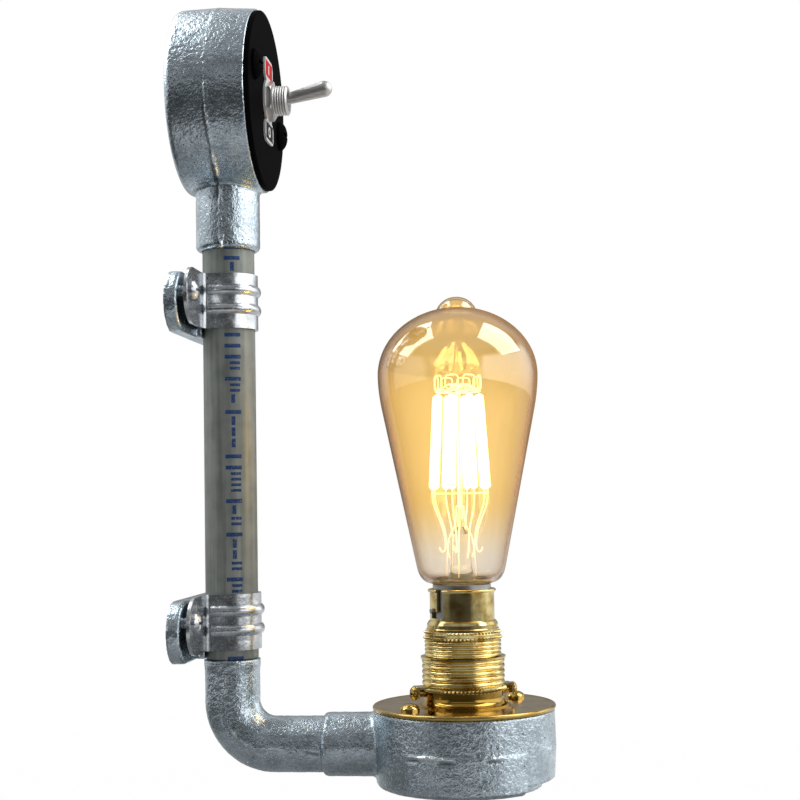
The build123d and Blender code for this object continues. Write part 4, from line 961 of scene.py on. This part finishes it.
class WALLLIGHT_OT_bulb(PieceOperator, bpy.types.Operator):
    """Build the bulb's filament cage and finish its glass and cap"""

    bl_idname = "wall_light.bulb"
    bl_label = "Bulb"

    # (distance from the axis, height over the plate) along the cage's bent wires
    FOOT = [(10.6, 81.0), (10.8, 78.0), (10.2, 74.0), (8.4, 69.5), (6.8, 65.0), (6.0, 60.0)]
    HOOKED = [(6.4, 57.2), (7.6, 56.8), (8.4, 58.4)]
    STRAIGHT = [(5.6, 57.0), (4.9, 54.5)]
    SPOKE = [(0.6, CAGE_HEAD + 3.2), (4.0, CAGE_HEAD + 3.6), (8.4, CAGE_HEAD + 1.0)]
    LEAD = [(5.6, 46.5), (5.4, 52.0), (5.0, 58.0), (4.0, 63.0), (2.0, 67.0), (1.3, 74.0)]
    LEAD_ANGLES = (-6.0, 84.0, 174.0, 264.0)
    LEAD_THICKNESS = 0.8  # of the cage's wires
    LOOP_RISE, LOOP_HALF_WIDTH, LOOP_HALF_HEIGHT = 4.2, 2.5, 2.6
    LOW_CROWN, HIGH_CROWN = CAGE_FOOT - 1.4, CAGE_HEAD + 1.0  # heights of the wire rings
    ROD_FOOT, ROD_HEAD, ROD_R = 73.5, 119.5, 0.9
    WIRE_SIDES, STRIP_SIDES = 8, 14
    STEPS = 5  # points for each stretch of a bent wire

    def build(self, scene):
        look = scene.bulb_look
        dress(amber_glass(), "bulb_glass")
        dress(clear_glass("stem_glass", 0.06), "glass_stem")
        nickel = plain("cap_nickel", (0.30, 0.30, 0.30), (0.46, 0.46, 0.45), 0.3, metallic=1.0)
        dress(nickel, "bulb_cap", "bulb_pins")
        black = plain("black_insulator", (0.015, 0.014, 0.016), (0.04, 0.038, 0.04), 0.12)
        dress(black, "cap_insulator")
        solder = plain("solder", (0.50, 0.51, 0.53), (0.68, 0.69, 0.71), 0.4, metallic=1.0)
        dress(solder, "cap_contacts")
        angles = [360 * (count + 0.5) / FILAMENTS + CAGE_TURN for count in range(FILAMENTS)]
        strips = joined("filament_strips", [self.strip(look.filament_r, angle) for angle in angles])
        finished(strips, phosphor(), "bulb", ["led_filaments"])
        wires = [
            self.crown(look.wire_r, self.LOW_CROWN, CAGE_LOW_R),
            self.crown(look.wire_r, self.HIGH_CROWN, CAGE_HIGH_R),
        ]
        for count, angle in enumerate(angles):
            wires += self.ends(look.wire_r, angle, count % 2)
        wires += [self.lead(look.wire_r, angle) for angle in self.LEAD_ANGLES]
        finished(joined("cage_wires", wires), lit_wire(), "bulb", ["filament_frame"])
        path = on_lamp(0.0, np.linspace(self.ROD_FOOT, self.ROD_HEAD, 30), 0.0)
        rod = tube("cage_rod", path, self.ROD_R, self.STRIP_SIDES, across=(1, 0, 0))
        finished(rod, clear_glass("rod_glass", 1.6), "bulb")

    def strip(self, radius, angle):
        """One leaning filament with rounded ends: its radius is that of a half circle over
        the last stretch at each end."""
        along = np.linspace(0, 1, 40)
        length = CAGE_HEAD - CAGE_FOOT
        end = np.clip(np.minimum(along, 1 - along) * length / radius, 0, 1)
        bead = radius * np.sqrt(np.clip(1 - (1 - end) ** 2, 0.02, 1))
        reach = CAGE_LOW_R + (CAGE_HIGH_R - CAGE_LOW_R) * along
        path = on_lamp(reach, CAGE_FOOT + length * along, angle)
        return tube("strip", path, bead, self.STRIP_SIDES, across=(1, 0, 0))

    def crown(self, wire, height, radius):
        """A ring of wire round the axis."""
        path = on_lamp(radius, height, np.linspace(0, 360, 72, endpoint=False))
        return tube("crown", path, wire, self.WIRE_SIDES, closed=True)

    def ends(self, wire, angle, hooked):
        """The wires at a filament's two ends: a foot that comes down to the stem, every
        second one hooked outwards, and a rounded loop and a spoke over its head. The loop
        is square in its middle: its sides follow the root of cosine and sine."""
        foot = smooth_path(self.FOOT + (self.HOOKED if hooked else self.STRAIGHT), self.STEPS)
        turn = np.linspace(0, 2 * math.pi, 28, endpoint=False)
        wide = self.LOOP_HALF_WIDTH * np.sign(np.cos(turn)) * abs(np.cos(turn)) ** 0.5
        tall = self.LOOP_HALF_HEIGHT * np.sign(np.sin(turn)) * abs(np.sin(turn)) ** 0.5
        aside = angle + np.degrees(np.arctan2(wide, CAGE_HIGH_R))
        loop = on_lamp(np.hypot(CAGE_HIGH_R, wide), CAGE_HEAD + self.LOOP_RISE + tall, aside)
        spoke = smooth_path(self.SPOKE, self.STEPS)
        outwards = on_lamp(1.0, 0.0, angle) - on_lamp(0.0, 0.0, angle)
        sideways = (-outwards[1], outwards[0], 0)
        return [
            tube("foot", on_lamp(*foot.T, angle), wire, self.WIRE_SIDES, across=sideways),
            tube("loop", loop, wire, self.WIRE_SIDES, closed=True, across=outwards),
            tube("spoke", on_lamp(*spoke.T, angle), wire, self.WIRE_SIDES, across=sideways),
        ]

    def lead(self, wire, angle):
        """A supply wire beside the stem: straight up, then in to its neck."""
        path = on_lamp(*smooth_path(self.LEAD, self.STEPS).T, angle)
        return tube("lead", path, wire * self.LEAD_THICKNESS, self.WIRE_SIDES, across=(0.1, 1, 0))


class WALLLIGHT_OT_works(PieceOperator, bpy.types.Operator):
    """Finish the terminals, contacts and wires inside"""

    bl_idname = "wall_light.works"
    bl_label = "Inner works"

    def build(self, scene):
        brass = plain("terminal_brass", (0.62, 0.44, 0.19), (0.78, 0.60, 0.31), 0.32, metallic=1.0)
        dress(brass, "contact_rocker", "switch_terminals", "block_tubes", "contact_plungers")
        dress(brass, "holder_terminals", "earth_terminal")
        steel = plain("steel_parts", (0.42, 0.42, 0.43), (0.62, 0.62, 0.63), 0.3, metallic=1.0)
        dress(steel, "lever_pivot_pin", "switch_terminal_screws", "block_screws")
        dress(steel, "holder_terminal_screws", "earth_screw")
        self.springs(steel)
        nylon = plain("block_nylon", (0.80, 0.80, 0.78), (0.90, 0.90, 0.88), 0.5)
        dress(nylon, "terminal_block")
        brown = plain("insulation_brown", (0.14, 0.05, 0.02), (0.20, 0.08, 0.035), 0.45)
        dress(brown, "live_link_wire", "switched_live_wire")
        dress(plain("insulation_blue", (0.02, 0.09, 0.36), (0.04, 0.14, 0.48), 0.45), "neutral_wire")
        dress(striped_insulation(), "earth_wire")

    @staticmethod
    def springs(steel):
        """The two coils under the contact plungers: a helix of four turns each."""
        foot, head = low("plunger_springs")[2], high("plunger_springs")[2]
        wire, radius, turns, points_a_turn = 0.3, 1.7, 4, 24
        turn = np.linspace(0, 2 * math.pi * turns, points_a_turn * turns + 1)
        height = np.linspace(foot + wire, head - wire, len(turn))
        coils = []
        for angle in (120.0, 300.0):
            x, y = on_lamp(4.5, 0.0, angle)[:2]
            path = np.column_stack([x + radius * np.cos(turn), y + radius * np.sin(turn), height])
            coils.append(tube("coil", path, wire, sides=10))
        piece = finished(joined("plunger_coils", coils), steel, None, ["plunger_springs"])
        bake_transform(piece)


class WALLLIGHT_OT_stage(PieceOperator, bpy.types.Operator):
    """Set up the pale floor, the soft light and the camera"""

    bl_idname = "wall_light.stage"
    bl_label = "Stage"

    # the camera, in millimetres and degrees
    PLACE = (142.4, -560.07, -153.95)
    YAW, PITCH, ROLL = -6.17, 3.705, -1.018
    LENS, SENSOR, NEAR, FAR = 66.84, 36.0, 20, 20000
    # the floor and the lamps, in millimetres
    FLOOR_Z, FLOOR_HALF = -330.0, 3000.0
    SOFTBOX_PLACE, SOFTBOX_ASIDE, SOFTBOX_SIZE = (100, 60, 400), 470, 520
    SOFTBOX_TARGET = (100, 0, -120)
    PALE, DARK, WHITE = (0.80,) * 3, (0.12,) * 3, (1.0,) * 3

    def build(self, scene):
        scene.view_settings.view_transform = "Standard"
        self.camera(scene)
        self.world(scene)
        self.floor(scene)
        for name, side in (("left_softbox", -1), ("right_softbox", 1)):
            self.softbox(scene, name, side)

    def camera(self, scene):
        """Looks along +Y, turned by the yaw, tipped by the pitch and rolled."""
        yaw, pitch, roll = (math.radians(angle) for angle in (self.YAW, self.PITCH, self.ROLL))
        flat = math.cos(pitch)
        ahead = Vector((math.sin(yaw) * flat, math.cos(yaw) * flat, math.sin(pitch)))
        level = Vector((math.cos(yaw), -math.sin(yaw), 0))
        upright = level.cross(ahead)
        right = level * math.cos(roll) + upright * math.sin(roll)
        up = -level * math.sin(roll) + upright * math.cos(roll)
        data = bpy.data.cameras.new("camera")
        data.lens = self.LENS
        data.sensor_width = self.SENSOR
        data.clip_start, data.clip_end = self.NEAR * MM, self.FAR * MM
        camera = bpy.data.objects.new("camera", data)
        turn = Matrix((right, up, -ahead)).transposed().to_4x4()
        camera.matrix_world = Matrix.Translation(Vector(self.PLACE) * MM) @ turn
        scene.collection.objects.link(camera)
        scene.camera = camera

    @staticmethod
    def eye(finish):
        """1 for what the camera sees itself, sees straight through glass and sees in a
        reflection."""
        rays = ("Is Camera Ray", "Is Transmission Ray", "Is Glossy Ray", "Glossy Depth")
        seen, through, mirrored, bounces = finish.node("LightPath", out=rays)
        return seen, through * (bounces < 0.5), mirrored

    def world(self, scene):
        """White to the eye and straight through glass, pale behind the object to its
        reflections, and elsewhere a dim studio with a white card at each side, a strip of
        light over the camera and a pale ceiling."""
        look = scene.studio_look
        scene.world = scene.world or bpy.data.worlds.new("world")
        sky = Finish(owner=scene.world)
        way = sky.node("TexCoord", out="Generated")
        side, depth, rise = sky.node("SeparateXYZ", out=(0, 1, 2), Vector=way)
        level = 1.0 - abs(rise).ramp(0.40, 0.55)
        left = (-1.0 * side).ramp(0.60, 0.74) * level * look.left_card
        right = side.ramp(0.54, 0.70) * level * look.right_card
        strip = rise.ramp(0.20, 0.26) * (1.0 - rise.ramp(0.42, 0.48)) * (1.0 - abs(side).ramp(0.5, 0.6))
        strip = strip * (depth < 0.0) * look.strip
        ceiling = rise.ramp(0.5, 0.8) * look.ceiling
        tone = look.dim + (left | right | strip | ceiling)
        seen, through, mirrored = self.eye(sky)
        behind = mirrored * depth.ramp(0.45, 0.70) * (0.6 - 0.35 * depth.ramp(0.80, 0.95))
        white = seen | through | behind
        strength = white + (1.0 - white) * tone
        sky.output(sky.node("Background", Color=self.WHITE, Strength=strength))

    def floor(self, scene):
        """A large pale square that shows white and keeps a faint shadow. To reflections it
        is pale behind the object, and dark below it, far in front of it and to its left."""
        half = self.FLOOR_HALF
        corners = [(-half, -half), (half, -half), (half, half), (-half, half)]
        points = np.array([(*corner, self.FLOOR_Z) for corner in corners])
        mesh = mesh_from("floor", points, np.array([[0, 1, 2, 3]]))
        finish = Finish("floor_white")
        x, y = finish.axes()[:2]
        seen, through, mirrored = self.eye(finish)
        distance = (x * x + y * y) ** 0.5
        away = distance.ramp(150.0, 900.0)
        behind = mirrored * y.ramp(90.0, 450.0) * 0.6
        below = 0.75 * (1.0 - distance.ramp(120.0, 360.0))
        ahead = mirrored * ((-1.0 * y).ramp(200.0, 600.0) | (-1.0 * x).ramp(60.0, 200.0) | below)
        matt = finish.node("BsdfDiffuse", Color=finish.mix(ahead, self.PALE, self.DARK))
        glow = finish.node("Emission", Color=self.WHITE, Strength=1.0)
        white = (0.97 + 0.03 * away) * (seen | through | behind)
        finish.output(finish.node("MixShader", i0=white, i1=matt, i2=glow))
        mesh.materials.append(finish.owner)
        floor = bpy.data.objects.new("floor", mesh)
        scene.collection.objects.link(floor)

    def softbox(self, scene, name, side):
        """A square soft lamp overhead, to the left (-1) or the right (1), that faces the
        object."""
        data = bpy.data.lights.new(name, "AREA")
        data.size = self.SOFTBOX_SIZE * MM
        data.energy = scene.studio_look.softbox
        lamp = bpy.data.objects.new(name, data)
        place = Vector(self.SOFTBOX_PLACE) + Vector((side * self.SOFTBOX_ASIDE, 0, 0))
        turn = (Vector(self.SOFTBOX_TARGET) - place).to_track_quat("-Z", "Y").to_matrix().to_4x4()
        lamp.matrix_world = Matrix.Translation(place * MM) @ turn
        scene.collection.objects.link(lamp)


OPERATORS = (
    WALLLIGHT_OT_castings,
    WALLLIGHT_OT_conduit,
    WALLLIGHT_OT_saddles,
    WALLLIGHT_OT_switch,
    WALLLIGHT_OT_lampholder,
    WALLLIGHT_OT_bulb,
    WALLLIGHT_OT_works,
    WALLLIGHT_OT_stage,
)


class WALLLIGHT_PT_panel(bpy.types.Panel):
    """Lists the building steps and the looks"""

    bl_idname = "WALLLIGHT_PT_panel"
    bl_label = "Wall Light"
    bl_space_type = "VIEW_3D"
    bl_region_type = "UI"
    bl_category = "Wall Light"

    def draw(self, context):
        for operator in OPERATORS:
            self.layout.operator(operator.bl_idname)
        for name, group in LOOKS.items():
            box = self.layout.box()
            for key in group.__annotations__:
                box.prop(getattr(context.scene, name), key)


CLASSES = (*LOOKS.values(), *OPERATORS, WALLLIGHT_PT_panel)


def register():
    """Makes the looks, steps and panel known to Blender."""
    for item in CLASSES:
        bpy.utils.register_class(item)
    for name, group in LOOKS.items():
        setattr(bpy.types.Scene, name, bpy.props.PointerProperty(type=group))


def unregister():
    """Takes them away again."""
    for name in LOOKS:
        delattr(bpy.types.Scene, name)
    for item in reversed(CLASSES):
        bpy.utils.unregister_class(item)


def main():
    """Runs every building step in order."""
    register()
    for operator in OPERATORS:
        group, step = operator.bl_idname.split(".")
        getattr(getattr(bpy.ops, group), step)()


if __name__ == "__main__":
    main()
